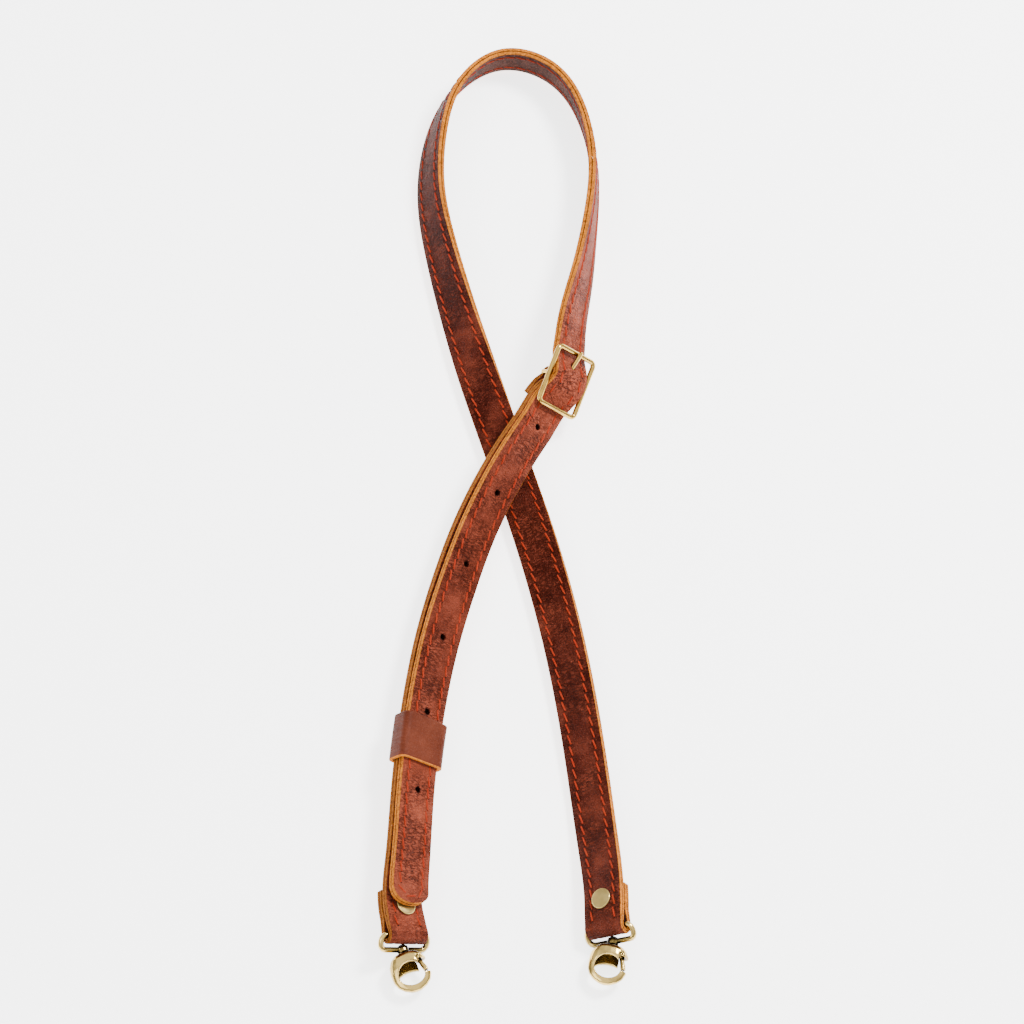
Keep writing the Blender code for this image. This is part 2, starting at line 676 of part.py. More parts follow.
def ring(name, bar, width, near_bar, reach, aim):
    """The flattened wire ring, with a boss on its near bar for the claw's post."""
    across = STRAP_WIDTH + 2 * RING_SIDE_SLACK + RING_WIRE
    loop = rounded_loop(across, RING_DEPTH, RING_DEPTH * 0.42, 5)
    middle = (bar + near_bar) / 2
    points = [middle + x * width + y * reach for x, y in loop]
    body = wire(name, points, RING_RADIUS, ANTIQUE_BRASS, closed=True)
    side = unit(np.cross(aim, width))
    matrix = frame_matrix(near_bar, unit(np.cross(side, aim)), side, aim)
    boss = cylinder("boss", matrix, BOSS_DIAMETER / 2, -RING_RADIUS, RING_RADIUS, ANTIQUE_BRASS)
    cut(body, boss, "UNION")
    cut(body, cylinder("bore", matrix, POST_WIRE / 2 + CLEARANCE, -RING_WIRE, RING_WIRE))
    return body, matrix


def oval(half_width, half_depth, sides):
    """Points of an oval, a little squarer than an ellipse."""
    turn = np.linspace(0, 2 * math.pi, sides, endpoint=False)
    power = 0.88
    x = half_width * np.sign(np.cos(turn)) * np.abs(np.cos(turn)) ** power
    z = half_depth * np.sign(np.sin(turn)) * np.abs(np.sin(turn)) ** power
    return x, z


def sections_loft(name, matrix, sections, material, sides=20):
    """A solid through ovals, each given by its place along y, its x, and its width and depth."""
    rings = []
    for along, out, half_width, half_depth in sections:
        x, z = oval(half_width, half_depth, sides)
        rings.append([matrix @ Vector((out + a, along, b)) for a, b in zip(x, z)])
    return loft(name, rings, material, STRAP_PARTS if material else CUTTERS)


def hook(name, near_bar, aim, level, up, post_matrix):
    """The cast claw: a hollow hood that runs into an arm round the eye, with its swivel post."""
    start = near_bar + aim * (RING_RADIUS + HOOK_NECK)
    matrix = frame_matrix(start, level, aim, up)
    sections = [(HOOK_LENGTH * row[0], 0.0, HOOK_WIDTH / 2 * row[1], HOOD_DEPTH / 2 * row[2])
                for row in HOOK_SECTIONS]
    body = sections_loft(name, matrix, sections, ANTIQUE_BRASS)
    hollow_end = HOOK_LENGTH * 0.62
    hollow = []
    for row in HOOK_SECTIONS[2:7]:
        inner_width = HOOK_WIDTH / 2 * row[1] - HOOK_WALL
        inner_depth = HOOD_DEPTH / 2 * row[2] - HOOK_WALL
        if HOOK_LENGTH * row[0] < hollow_end:
            hollow.append((HOOK_LENGTH * row[0] + HOOK_WALL * 0.4, 0.0, inner_width, inner_depth))
    hollow.append((hollow_end, 0.0, HOOK_WIDTH / 2 - HOOK_WALL * 2, HOOD_DEPTH * 0.3))
    cut(body, sections_loft("hood_hollow", matrix, hollow, None, 16))
    eye_foot = HOOK_LENGTH - ARM_FOOT
    half_eye = HOOK_WIDTH / 2 - ARM_WIDTH
    rings = []
    lip_rise = (BACK_LIP - FRONT_LIP) / (HOOD_DEPTH - HOOK_WALL)
    for level_up in (HOOD_DEPTH * 0.62, -HOOD_DEPTH * 0.62):
        lip = (FRONT_LIP + BACK_LIP) / 2 - level_up * lip_rise
        middle = (lip + eye_foot) / 2
        ring_points = []
        for turn in np.linspace(0, 2 * math.pi, 24, endpoint=False):
            ring_points.append(matrix @ Vector((half_eye * math.cos(turn),
                                                middle + (eye_foot - lip) / 2 * math.sin(turn),
                                                level_up)))
        rings.append(ring_points)
    cut(body, loft("eye", rings, None, CUTTERS))
    mouth = bmesh.new()
    bmesh.ops.create_cube(mouth, size=1.0)
    mouth_middle = (-(half_eye * 0.72 + HOOK_WIDTH) / 2, (GATE_START + GATE_END) / 2, 0)
    mouth_size = (HOOK_WIDTH - half_eye * 0.72, GATE_END - GATE_START, HOOD_DEPTH * 1.4)
    bmesh.ops.scale(mouth, vec=mouth_size, verts=mouth.verts)
    bmesh.ops.translate(mouth, vec=mouth_middle, verts=mouth.verts)
    bmesh.ops.transform(mouth, matrix=matrix, verts=mouth.verts)
    data = bpy.data.meshes.new("mouth")
    mouth.to_mesh(data)
    mouth.free()
    cut(body, mesh_object("mouth", data, None, CUTTERS))
    post = POST_WIRE / 2
    head_top = -RING_RADIUS - 1.5 * CLEARANCE
    profile = ((post * 1.5, head_top - POST_HEAD), (post * 1.8, head_top), (post, head_top),
               (post, RING_RADIUS + HOOK_NECK + HOOK_WALL * 0.8))
    cut(body, turned("post", post_matrix, profile, ANTIQUE_BRASS, 12), "UNION")
    pin = gate_pin_matrix(matrix)
    cut(body, cylinder("pin_hole", pin, GATE_PIN / 2 + CLEARANCE / 2, -HOOD_DEPTH, HOOD_DEPTH,
                       sides=12))
    return body, matrix


def gate_pin_matrix(matrix):
    """The gate pin's frame: its z axis runs through the hood, front to back."""
    along, out, _, _ = GATE_SECTIONS[0]
    return matrix @ Matrix.Translation((-HOOK_WIDTH * out, HOOK_LENGTH * (along + 0.03), 0))


def gate(name, matrix):
    """The sprung lever that closes the claw, on its pin."""
    sections = [(HOOK_LENGTH * along, -HOOK_WIDTH * out, HOOK_WIDTH * wide / 2,
                 HOOD_DEPTH * deep / 2) for along, out, wide, deep in GATE_SECTIONS]
    lever = sections_loft(name, matrix, sections, ANTIQUE_BRASS, 10)
    reach = HOOD_DEPTH / 2 * 0.74
    pin = cylinder("pin", gate_pin_matrix(matrix), GATE_PIN / 2, -reach, reach, ANTIQUE_BRASS, 12)
    cut(lever, pin, "UNION")
    return lever


def settle(pivots):
    """Rest the whole on z = 0 about the origin, with each moving piece's origin on its pivot."""
    things = list(STRAP_PARTS.objects)
    depsgraph = bpy.context.evaluated_depsgraph_get()
    corners = []
    for thing in things:
        data = thing.evaluated_get(depsgraph).to_mesh()
        points = np.empty(len(data.vertices) * 3)
        data.vertices.foreach_get("co", points)
        corners.append(points.reshape(-1, 3))
    corners = np.concatenate(corners)
    low = corners.min(axis=0)
    high = corners.max(axis=0)
    foot = np.array([(low[0] + high[0]) / 2, (low[1] + high[1]) / 2, low[2]])
    for thing in things:
        pivot = pivots.get(thing.name, foot)
        thing.data.transform(Matrix.Translation(Vector(-pivot)))
        thing.location = Vector(pivot - foot)
    return foot


def build():
    """Every piece in its place."""
    pivots = {}
    long_front, long_back, right_bar = long_strap()
    short_front, short_back, _, left_bar = short_strap()
    keeper()
    buckle((long_front, long_back, short_front, short_back))
    rivet("rivet_right", RIVET_FROM_BAR, 0.0, (long_front, long_back))
    left_at = ROUTE_END - RIVET_FROM_BAR
    rivet("rivet_left", left_at, float(standoff(left_at)), (short_front, short_back))
    for index in range(HOLE_COUNT):
        at = BUCKLE_AT + FIRST_HOLE_FROM_BUCKLE + index * HOLE_PITCH
        matrix = face_frame(at, 0.0)
        for ply in (long_front, long_back):
            cut(ply, cylinder("hole", matrix, HOLE_RADIUS, -THICKNESS, THICKNESS, sides=10))
    ends = (("right", right_bar, 0.0, -1.0, RIGHT_SLEW),
            ("left", left_bar, ROUTE_END, 1.0, LEFT_SLEW))
    for side, bar, at, sign, slew in ends:
        _, heading, width, _ = route_frames(at)
        near_bar, reach, aim, level, up = claw_frame(bar, sign * heading[0], width[0], slew)
        _, post_matrix = ring("ring_" + side, bar, width[0], near_bar, reach, aim)
        _, matrix = hook("hook_" + side, near_bar, aim, level, up, post_matrix)
        gate("gate_" + side, matrix)
        pivots["ring_" + side] = bar
        pivots["hook_" + side] = near_bar
        pivots["gate_" + side] = np.array(gate_pin_matrix(matrix).translation)
    return settle(pivots)


FOOT = build()
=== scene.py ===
"""Looks for the leather shoulder strap: its leather, thread, brass, floor, light and camera."""
import math

import bmesh
import bpy
import numpy as np
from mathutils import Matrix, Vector


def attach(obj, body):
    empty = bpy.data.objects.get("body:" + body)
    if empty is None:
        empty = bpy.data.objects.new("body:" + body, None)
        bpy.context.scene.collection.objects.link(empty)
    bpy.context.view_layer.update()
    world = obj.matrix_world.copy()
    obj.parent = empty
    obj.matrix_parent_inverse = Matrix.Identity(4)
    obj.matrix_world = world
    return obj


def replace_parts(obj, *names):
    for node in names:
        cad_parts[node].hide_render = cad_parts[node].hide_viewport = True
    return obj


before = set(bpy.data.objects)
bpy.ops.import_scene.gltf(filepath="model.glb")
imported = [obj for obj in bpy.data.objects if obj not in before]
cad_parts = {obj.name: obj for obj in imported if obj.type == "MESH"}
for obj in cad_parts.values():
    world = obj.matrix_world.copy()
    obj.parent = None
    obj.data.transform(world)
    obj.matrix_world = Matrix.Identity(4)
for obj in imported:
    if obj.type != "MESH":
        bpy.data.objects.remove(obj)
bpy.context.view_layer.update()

# The long strap
# Two plies of vegetable-tanned leather, stitched back to back and cut clean, so that the raw
# edges show.  It is folded round the right ring, laid in a loop and drawn through the buckle.
STRAP_WIDTH = 0.019
PLY = 0.00165
GAP = 0.0003
THICKNESS = 2 * PLY + GAP
LAYER = THICKNESS + GAP
LAID_LENGTH = 0.472
LAID_WIDTH = 0.113
SET_DOWN = np.array([-0.00228607, 0.00097990, -0.00176494])
BUCKLE_WIRE = 0.0024
BUCKLE_LENGTH = 0.0275
BAR_DROP = 0.0042
BUCKLE_TILT = math.radians(3)
RING_WIRE = 0.0028
RING_SKIVE = 0.7
BUCKLE_SKIVE = 0.5
SKIVE_RUN = 0.008
FLAP_LENGTH = 0.0185
TIP_LENGTH = 0.0085
TIP_SHORT_OF_END = 0.0105
TIP_CURVE = 2.6
EDGE_ROUND = 0.00045
SEAM_INSET = 0.0037
SEAM_DEPTH = 0.00022
SEAM_GROOVE = 0.00055
ROW_STEP = 0.0012
WAVE_STEP = 0.0007
RING_FOLD_RUN = 0.008
PATTERN_PER_METRE = 50
ROUTE_COLUMNS = ("across", "along", "roll", "layers", "rise")
ROUTE = np.array((
    (0.359, -0.437, 34, 1.45, 0.00),
    (0.360, -0.408, 33, 1.40, 0.00),
    (0.339, -0.351, 28, 0.20, 0.00),
    (0.278, -0.239, 25, 0.00, 0.00),
    (0.194, -0.127, 21, 0.00, 0.00),
    (0.071, -0.014, 13, 0.00, 0.00),
    (-0.014, 0.051, 9, 0.00, 0.00),
    (-0.097, 0.113, 13, 0.00, 0.00),
    (-0.170, 0.168, 28, 0.00, 0.00),
    (-0.238, 0.225, 40, 0.00, 0.00),
    (-0.298, 0.283, 49, 0.00, 0.00),
    (-0.338, 0.344, 56, 0.00, 0.00),
    (-0.322, 0.405, 63, 0.00, 0.00),
    (-0.229, 0.464, 75, 0.00, 0.00),
    (-0.039, 0.496, 83, 0.00, 0.00),
    (0.165, 0.481, 87, 0.00, 0.00),
    (0.298, 0.430, 88, 0.00, 0.00),
    (0.342, 0.368, 85, 0.00, 0.00),
    (0.325, 0.302, 79, 0.00, 0.60),
    (0.287, 0.237, 67, 0.00, 1.90),
    (0.241, 0.1705, 54, 0.00, 4.10),
    (0.206, 0.1225, 46, 0.00, 3.05),
    (0.117, 0.0830, 45, 1.00, 1.70),
    (0.013, 0.040, 44, 1.00, 2.20),
    (-0.121, -0.021, 42, 1.00, 0.60),
    (-0.211, -0.082, 38, 1.60, 0.00),
    (-0.285, -0.145, 36, 1.60, 0.00),
    (-0.335, -0.207, 37, 1.80, 0.00),
    (-0.380, -0.300, 39, 1.80, 0.00),
    (-0.397, -0.373, 37, 1.90, 0.00),
    (-0.398, -0.418, 33, 2.70, 0.00),
    (-0.379, -0.441, 30, 2.95, 0.00),
))
BUCKLE_ROW = 21


def column(table, columns, name):
    """One named column of a table."""
    return table[:, columns.index(name)]


def natural_cubic(knots, values, at):
    """The smooth curve through the values at the knots: a cubic between each two, with equal
    slope and bend where they meet, and no bend at the ends."""
    gap = np.diff(knots)
    slope = np.diff(values) / gap
    system = np.eye(len(knots))
    inner = np.arange(1, len(knots) - 1)
    system[inner, inner - 1] = gap[:-1]
    system[inner, inner] = 2 * (gap[:-1] + gap[1:])
    system[inner, inner + 1] = gap[1:]
    load = np.zeros(len(knots))
    load[1:-1] = 6 * np.diff(slope)
    bend = np.linalg.solve(system, load)
    i = np.clip(np.searchsorted(knots, at, side="right") - 1, 0, len(knots) - 2)
    a = knots[i + 1] - at
    b = at - knots[i]
    g = gap[i]
    curve = (bend[i] * a ** 3 + bend[i + 1] * b ** 3) / (6 * g)
    curve = curve + (values[i] / g - bend[i] * g / 6) * a
    return curve + (values[i + 1] / g - bend[i + 1] * g / 6) * b


def unit(vectors):
    """Each vector over its own length."""
    return vectors / np.linalg.norm(vectors, axis=-1, keepdims=True)


def ease(share):
    """A step from 0 to 1 that starts and ends level: three squares less two cubes."""
    share = np.clip(share, 0.0, 1.0)
    return share * share * (3 - 2 * share)


across, along, roll, layers, rise = (column(ROUTE, ROUTE_COLUMNS, name)
                                    for name in ROUTE_COLUMNS)
roll_knots = np.radians(roll)
stations = np.stack([
    across * LAID_WIDTH,
    along * LAID_LENGTH,
    STRAP_WIDTH / 2 * np.sin(roll_knots) + THICKNESS / 2 * np.cos(roll_knots)
    + layers * LAYER * np.cos(roll_knots) + rise * THICKNESS,
], axis=1)
distance = np.concatenate([[0.0], np.cumsum(np.linalg.norm(np.diff(stations, axis=0), axis=1))])
ROUTE_END = distance[-1]
BUCKLE_AT = distance[BUCKLE_ROW]
TIP_AT = ROUTE_END - TIP_SHORT_OF_END


def route_frames(at):
    """Centre, heading, width direction and face normal of the route at each distance: the width
    direction is level and square to the heading, then turned about the heading by the roll."""
    at = np.atleast_1d(np.asarray(at, dtype=float))
    probe = 1e-5
    middle, ahead, behind = (
        np.stack([natural_cubic(distance, stations[:, k], where) for k in range(3)], axis=1)
        for where in (at, at + probe, at - probe))
    heading = unit(ahead - behind)
    level = unit(np.stack([heading[:, 1], -heading[:, 0], np.zeros(len(at))], axis=1))
    roll = natural_cubic(distance, roll_knots, at)[:, None]
    width = np.cos(roll) * level + np.sin(roll) * np.cross(level, heading)
    return middle - SET_DOWN, heading, width, unit(np.cross(width, heading))


BAR_RADIUS = BUCKLE_WIRE / 2
CENTRE_BAR = -BAR_RADIUS
OUTER_BAR = CENTRE_BAR + BAR_DROP
FOLD_LAYER = THICKNESS * BUCKLE_SKIVE
BUCKLE_FOLD = BAR_RADIUS + 2 * GAP + FOLD_LAYER / 2
STRAP_AT_BAR = OUTER_BAR - BAR_RADIUS - 2 * GAP - THICKNESS / 2
STRAP_AT_MIDDLE = CENTRE_BAR + BUCKLE_FOLD + FOLD_LAYER / 2 + GAP + THICKNESS / 2
HUMP_REACH = 2.0
HUMP_FLAT = 0.02


def hump(at):
    """How far the strap stands off its route near the buckle: under, over and under the bars."""
    along = (np.asarray(at, dtype=float) - BUCKLE_AT) / (BUCKLE_LENGTH / 2)
    away = np.abs(along)
    inner = STRAP_AT_MIDDLE + (STRAP_AT_BAR - STRAP_AT_MIDDLE) * ease((away - HUMP_FLAT)
                                                                    / (1 - HUMP_FLAT))
    lean = -math.tan(BUCKLE_TILT) * BUCKLE_LENGTH / 2 * np.sign(along) * ease(away)
    fade = 1 - ease((away - 1) / (HUMP_REACH - 1))
    return (np.where(away < 1, inner, STRAP_AT_BAR) + lean) * fade


def skive(from_fold, share):
    """The share of its thickness that the leather is thinned to, rising to 1 away from a fold."""
    return share + (1 - share) * ease(np.asarray(from_fold, dtype=float) / SKIVE_RUN)


def face_normals(centre, width, sign=1.0):
    """Normals square to a strip's own slope: its width direction crossed with its run."""
    return unit(np.cross(width, np.gradient(centre, axis=0) * sign))


def fold_rows(bar, outward, normal, radius, turns=26):
    """Half a turn round a bar: middles on a circle and the directions away from the bar."""
    turn = np.linspace(0, math.pi, turns + 1)[1:-1, None]
    away = np.cos(turn) * normal + np.sin(turn) * outward
    return bar + radius * away, away


def spaced(start, end, step):
    """Distances from start to end, about a step apart."""
    return np.linspace(start, end, max(2, int(round(abs(end - start) / step)) + 1))


def ply_profile(outer):
    """Across and up places round one ply's section as shares: across in half widths less a
    corner's radius, up in thicknesses.  The back is flat, the sides are straight and the face
    meets them in quarter circles.  Columns: share across, corner across, share up, corner up,
    raw edge, seam side."""
    back = np.linspace(-1, 1, 9)
    face = np.linspace(1, -1, 41)
    turn = np.linspace(0, math.pi / 2, 5)
    rows = [(x, np.sign(x) if abs(x) == 1 else x, 0.0, 0.0, 1.0 if abs(x) == 1 else 0.0, 1.0)
            for x in back]
    rows += [(1.0, 1.0, up, 0.0, 1.0, 1 - up) for up in (0.06, 0.3, 0.55, 0.8)]
    rows += [(1.0, math.cos(t), 1.0, math.sin(t) - 1, float(t < 0.9), 0.0) for t in turn]
    rows += [(x, 0.0, 1.0, 0.0, 0.0, 0.0) for x in face[1:-1]]
    rows += [(-1.0, -math.cos(t), 1.0, math.sin(t) - 1, float(t < 0.9), 0.0) for t in turn[::-1]]
    rows += [(-1.0, -1.0, up, 0.0, 1.0, 1 - up) for up in (0.8, 0.55, 0.3, 0.06)]
    table = np.array(rows)
    return table if outer else table[::-1]


def outward(data, weld=0.0, split_caps=False):
    """Turns a mesh's faces outward, after it welds points and splits caps where asked."""
    edit = bmesh.new()
    edit.from_mesh(data)
    if weld:
        bmesh.ops.remove_doubles(edit, verts=edit.verts, dist=weld)
    if split_caps:
        bmesh.ops.triangulate(edit, faces=[f for f in edit.faces if len(f.verts) > 4])
    bmesh.ops.recalc_face_normals(edit, faces=edit.faces)
    edit.to_mesh(data)
    edit.free()


def grid_mesh(name, points, closed=False, attributes=(), uv=None):
    """A mesh over a grid of points: rows along the first index, columns round the second, each
    four neighbours a face.  The rows close on themselves or end in flat caps."""
    rows, columns = points.shape[:2]
    index = np.arange(rows * columns).reshape(rows, columns)
    here = index if closed else index[:-1]
    following = np.roll(index, -1, axis=0) if closed else index[1:]
    quads = np.stack([here, np.roll(here, -1, 1), np.roll(following, -1, 1), following], -1)
    faces = quads.reshape(-1, 4).tolist()
    if not closed:
        faces += [index[0][::-1].tolist(), index[-1].tolist()]
    data = bpy.data.meshes.new(name)
    data.from_pydata(points.reshape(-1, 3).tolist(), [], faces)
    for label, values in attributes:
        layer = data.attributes.new(label, "FLOAT", "POINT")
        layer.data.foreach_set("value", np.ascontiguousarray(values, dtype=np.float32).ravel())
    if uv is not None:
        corners = np.empty(len(data.loops), dtype=np.int32)
        data.loops.foreach_get("vertex_index", corners)
        layer = data.uv_layers.new(name="along")
        layer.data.foreach_set("uv", uv.reshape(-1, 2)[corners].astype(np.float32).ravel())
    data.update()
    data.shade_smooth()
    data.set_sharp_from_angle(angle=math.radians(50))
    return data


def new_piece(name, data, material, body):
    """An object of a mesh, with its material, riding on a body."""
    thing = bpy.data.objects.new(name, data)
    bpy.context.scene.collection.objects.link(thing)
    data.materials.append(material)
    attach(thing, body)
    return thing


def ply(name, rows, outer, material, distance_along):
    """One ply: its profile carried along the strip's rows, with the seam's groove pressed in.
    Place = middle + width direction x across + face direction x up."""
    centre, width, normal, thickness, half_width, tone = rows
    table = ply_profile(outer)
    far = thickness[:, None] / 2
    corner = np.minimum(EDGE_ROUND, np.minimum(far / 3, half_width[:, None] / 3))
    across = table[:, 0] * (half_width[:, None] - corner) + table[:, 1] * corner
    up = GAP / 2 + table[:, 2] * (far - GAP / 2) + table[:, 3] * corner
    from_seam = (np.abs(across) - (half_width[:, None] - SEAM_INSET)) / SEAM_GROOVE
    up = up - SEAM_DEPTH * np.exp(-from_seam ** 2) * (table[:, 2] == 1) * (table[:, 3] == 0)
    sign = 1.0 if outer else -1.0
    points = (centre[:, None] + width[:, None] * across[..., None]
              + normal[:, None] * (sign * up)[..., None])
    shape = across.shape
    spread = [("raw", np.broadcast_to(table[:, 4], shape)),
              ("seam_side", np.broadcast_to(table[:, 5], shape)),
              ("tone", np.broadcast_to(tone[:, None], shape))]
    uv = np.stack([np.broadcast_to(distance_along[:, None], shape), across], axis=-1)
    data = grid_mesh(name, points, attributes=spread, uv=uv * PATTERN_PER_METRE)
    outward(data, split_caps=True)
    return new_piece(name, data, material, "strap")


def group(name, inputs, outputs):
    """An empty shader group with its named float, colour or vector sockets."""
    kinds = {"f": "NodeSocketFloat", "c": "NodeSocketColor", "v": "NodeSocketVector"}
    tree = bpy.data.node_groups.new(name, "ShaderNodeTree")
    for label, kind in inputs:
        tree.interface.new_socket(label, in_out="INPUT", socket_type=kinds[kind])
    for label, kind in outputs:
        tree.interface.new_socket(label, in_out="OUTPUT", socket_type=kinds[kind])
    return tree, tree.nodes.new("NodeGroupInput"), tree.nodes.new("NodeGroupOutput")


def put(tree, kind, settings=None, **inputs):
    """A node with its settings, each input a value or another node's output."""
    made = tree.nodes.new(kind)
    for key, value in (settings or {}).items():
        setattr(made, key, value)
    for key, value in inputs.items():
        slot_key = int(key[1:]) if key[1:].isdigit() and key[0] == "i" else key.replace("_", " ")
        if isinstance(value, bpy.types.NodeSocket):
            tree.links.new(value, made.inputs[slot_key])
        else:
            made.inputs[slot_key].default_value = value
    return made


def maths(tree, operation, a, b=0.0, clamp=False):
    """The output of one sum."""
    return put(tree, "ShaderNodeMath", {"operation": operation, "use_clamp": clamp},
               i0=a, i1=b).outputs[0]


def ramp(tree, value, low, high, start=0.0, end=1.0):
    """The value from low to high stretched to start to end, and held outside."""
    return put(tree, "ShaderNodeMapRange", None, Value=value, From_Min=low, From_Max=high,
               To_Min=start, To_Max=end).outputs[0]


def blend_colour(tree, share, first, second, way="MIX"):
    """Two colours mixed by a share."""
    return put(tree, "ShaderNodeMix", {"data_type": "RGBA", "blend_type": way},
               i0=share, i6=first, i7=second).outputs[2]


def noise(tree, vector, scale, detail=2.0, rough=0.5):
    """A noise value."""
    return put(tree, "ShaderNodeTexNoise", None, Vector=vector, Scale=scale, Detail=detail,
               Roughness=rough).outputs[0]


# Leather's surface: a fine pebble, creases across the strap and cloudy colour, all in metres, with
# a share of painted shade that darkens the creases
grain, grain_in, grain_out = group(
    "leather_grain", [("Creases", "f"), ("Pebble", "f")],
    [("Height", "f"), ("Cloud", "f"), ("Fleck", "f"), ("Crease", "f")])
place = put(grain, "ShaderNodeTexCoord").outputs["Object"]
along = put(grain, "ShaderNodeUVMap", {"uv_map": "along"}).outputs[0]
pores = put(grain, "ShaderNodeTexVoronoi", {"feature": "DISTANCE_TO_EDGE"}, Vector=place,
            Scale=900.0).outputs["Distance"]
fine = noise(grain, place, 700.0, 3.0, 0.6)
stretched = put(grain, "ShaderNodeMapping", None, Vector=along,
                Scale=(8.0, 3.0, 1.0)).outputs[0]
crease_noise = noise(grain, stretched, 1.9, 4.0, 0.62)
crease = maths(grain, "POWER", ramp(grain, maths(grain, "ABSOLUTE", maths(
    grain, "SUBTRACT", crease_noise, 0.5)), 0.0, 0.095, 1.0, 0.0), 1.5)
where = ramp(grain, noise(grain, place, 60.0, 2.0), 0.34, 0.56, 0.15, 1.0)
crease = maths(grain, "MULTIPLY", crease, where)
pebble = maths(grain, "MULTIPLY", ramp(grain, pores, 0.0, 0.35), grain_in.outputs["Pebble"])
total = maths(grain, "ADD", maths(grain, "MULTIPLY", pebble, 0.45),
              maths(grain, "MULTIPLY", fine, 0.35))
deep = maths(grain, "MULTIPLY", crease, grain_in.outputs["Creases"])
total = maths(grain, "ADD", total, maths(grain, "MULTIPLY", crease_noise, 1.6))
grain.links.new(maths(grain, "SUBTRACT", total, maths(grain, "MULTIPLY", deep, 0.6)),
                grain_out.inputs["Height"])
grain.links.new(noise(grain, place, 95.0, 4.0, 0.6), grain_out.inputs["Cloud"])
grain.links.new(ramp(grain, noise(grain, place, 2400.0, 2.0), 0.52, 0.72),
                grain_out.inputs["Fleck"])
# The creases' share of painted shade, used for the colour only
grain.links.new(deep, grain_out.inputs["Crease"])

# The cut edge: undyed fibre in pale orange, brushed with dye, darker where two plies meet, and
# darkened further by a given share of painted shade
cut_edge, edge_in, edge_out = group("raw_edge", [("Worn", "f")], [("Color", "c"), ("Height", "f")])
place = put(cut_edge, "ShaderNodeTexCoord").outputs["Object"]
meeting = put(cut_edge, "ShaderNodeAttribute", {"attribute_name": "seam_side"}).outputs["Fac"]
fibre = noise(cut_edge, place, 1500.0, 4.0, 0.7)
streak = noise(cut_edge, place, 520.0, 4.0, 0.7)
pale = blend_colour(cut_edge, ramp(cut_edge, fibre, 0.3, 0.7), (0.40, 0.105, 0.009, 1),
                    (0.74, 0.245, 0.026, 1))
edge_colour = blend_colour(cut_edge, ramp(cut_edge, streak, 0.50, 0.66, 0.0, 0.75), pale,
                    (0.20, 0.050, 0.008, 1))
# Painted shade: the raw edge darkened by the given share
edge_colour = blend_colour(cut_edge, edge_in.outputs["Worn"], edge_colour, (0.150, 0.050, 0.012, 1))
dark = blend_colour(cut_edge, ramp(cut_edge, meeting, 0.85, 1.0, 0.0, 0.6), edge_colour,
                    (0.060, 0.018, 0.006, 1))
cut_edge.links.new(dark, edge_out.inputs["Color"])
cut_edge.links.new(maths(cut_edge, "ADD", fibre, streak), edge_out.inputs["Height"])


def leather(name, dark, light, creases, pebble, rough, worn, bump):
    """Leather from a dark to a light tone, by the tone set along the strap, with raw cut edges;
    painted shade darkens the creases, and the raw edges by the given share.
    """
    material = bpy.data.materials.new(name)
    material.use_nodes = True
    tree = material.node_tree
    shader = tree.nodes["Principled BSDF"]
    surface = put(tree, "ShaderNodeGroup", {"node_tree": grain}, Creases=creases, Pebble=pebble)
    edge = put(tree, "ShaderNodeGroup", {"node_tree": cut_edge}, Worn=worn)
    tone = put(tree, "ShaderNodeAttribute", {"attribute_name": "tone"}).outputs["Fac"]
    raw = put(tree, "ShaderNodeAttribute", {"attribute_name": "raw"}).outputs["Fac"]
    cloud = ramp(tree, surface.outputs["Cloud"], 0.3, 0.7, -0.22, 0.22)
    base = blend_colour(tree, maths(tree, "ADD", tone, cloud, True), (*dark, 1), (*light, 1))
    base = blend_colour(tree, maths(tree, "MULTIPLY", surface.outputs["Fleck"], 0.16), base,
                        (*[min(1.0, v * 2.0 + 0.04) for v in light], 1))
    # Painted shade: the leather's colour darkened in its creases
    base = blend_colour(tree, maths(tree, "MULTIPLY", surface.outputs["Crease"], 0.75), base,
                        (*[v * 0.45 for v in dark], 1))
    share = ramp(tree, raw, 0.45, 0.55)
    tree.links.new(blend_colour(tree, share, base, edge.outputs["Color"]),
                   shader.inputs["Base Color"])
    tree.links.new(ramp(tree, share, 0.0, 1.0, rough, 0.85), shader.inputs["Roughness"])
    shader.inputs["Specular IOR Level"].default_value = 0.04
    height = maths(tree, "ADD", surface.outputs["Height"],
                   maths(tree, "MULTIPLY", edge.outputs["Height"], maths(
                       tree, "MULTIPLY", share, 0.5)))
    relief = put(tree, "ShaderNodeBump", None, Height=height, Strength=bump, Distance=0.001)
    tree.links.new(relief.outputs[0], shader.inputs["Normal"])
    return material


DARK_FACE = (0.046, 0.0062, 0.0026)
LIGHT_FACE = (0.272, 0.056, 0.027)
DARK_LINING = (0.050, 0.013, 0.008)
LIGHT_LINING = (0.120, 0.038, 0.022)
FACE_LEATHER = leather("face_leather", DARK_FACE, LIGHT_FACE, creases=1.3, pebble=1.0,
                       rough=0.48, worn=0.0, bump=0.75)
LINING_LEATHER = leather("lining_leather", DARK_LINING, LIGHT_LINING, creases=1.5, pebble=0.8,
                         rough=0.55, worn=0.0, bump=0.8)
TONE_COLUMNS = ("way", "tone")
TONE = np.array((
    (0.00, 0.12), (0.25, 0.08), (0.40, 0.10), (0.50, 0.35), (0.60, 0.60), (0.66, 0.82),
    (0.71, 0.88), (0.75, 0.46), (0.80, 0.30), (0.86, 0.38), (0.93, 0.70), (1.00, 0.74),
))


def tone_at(at):
    """How light the leather is, by share of the way along the route."""
    return np.interp(np.asarray(at) / ROUTE_END, column(TONE, TONE_COLUMNS, "way"),
                     column(TONE, TONE_COLUMNS, "tone"))


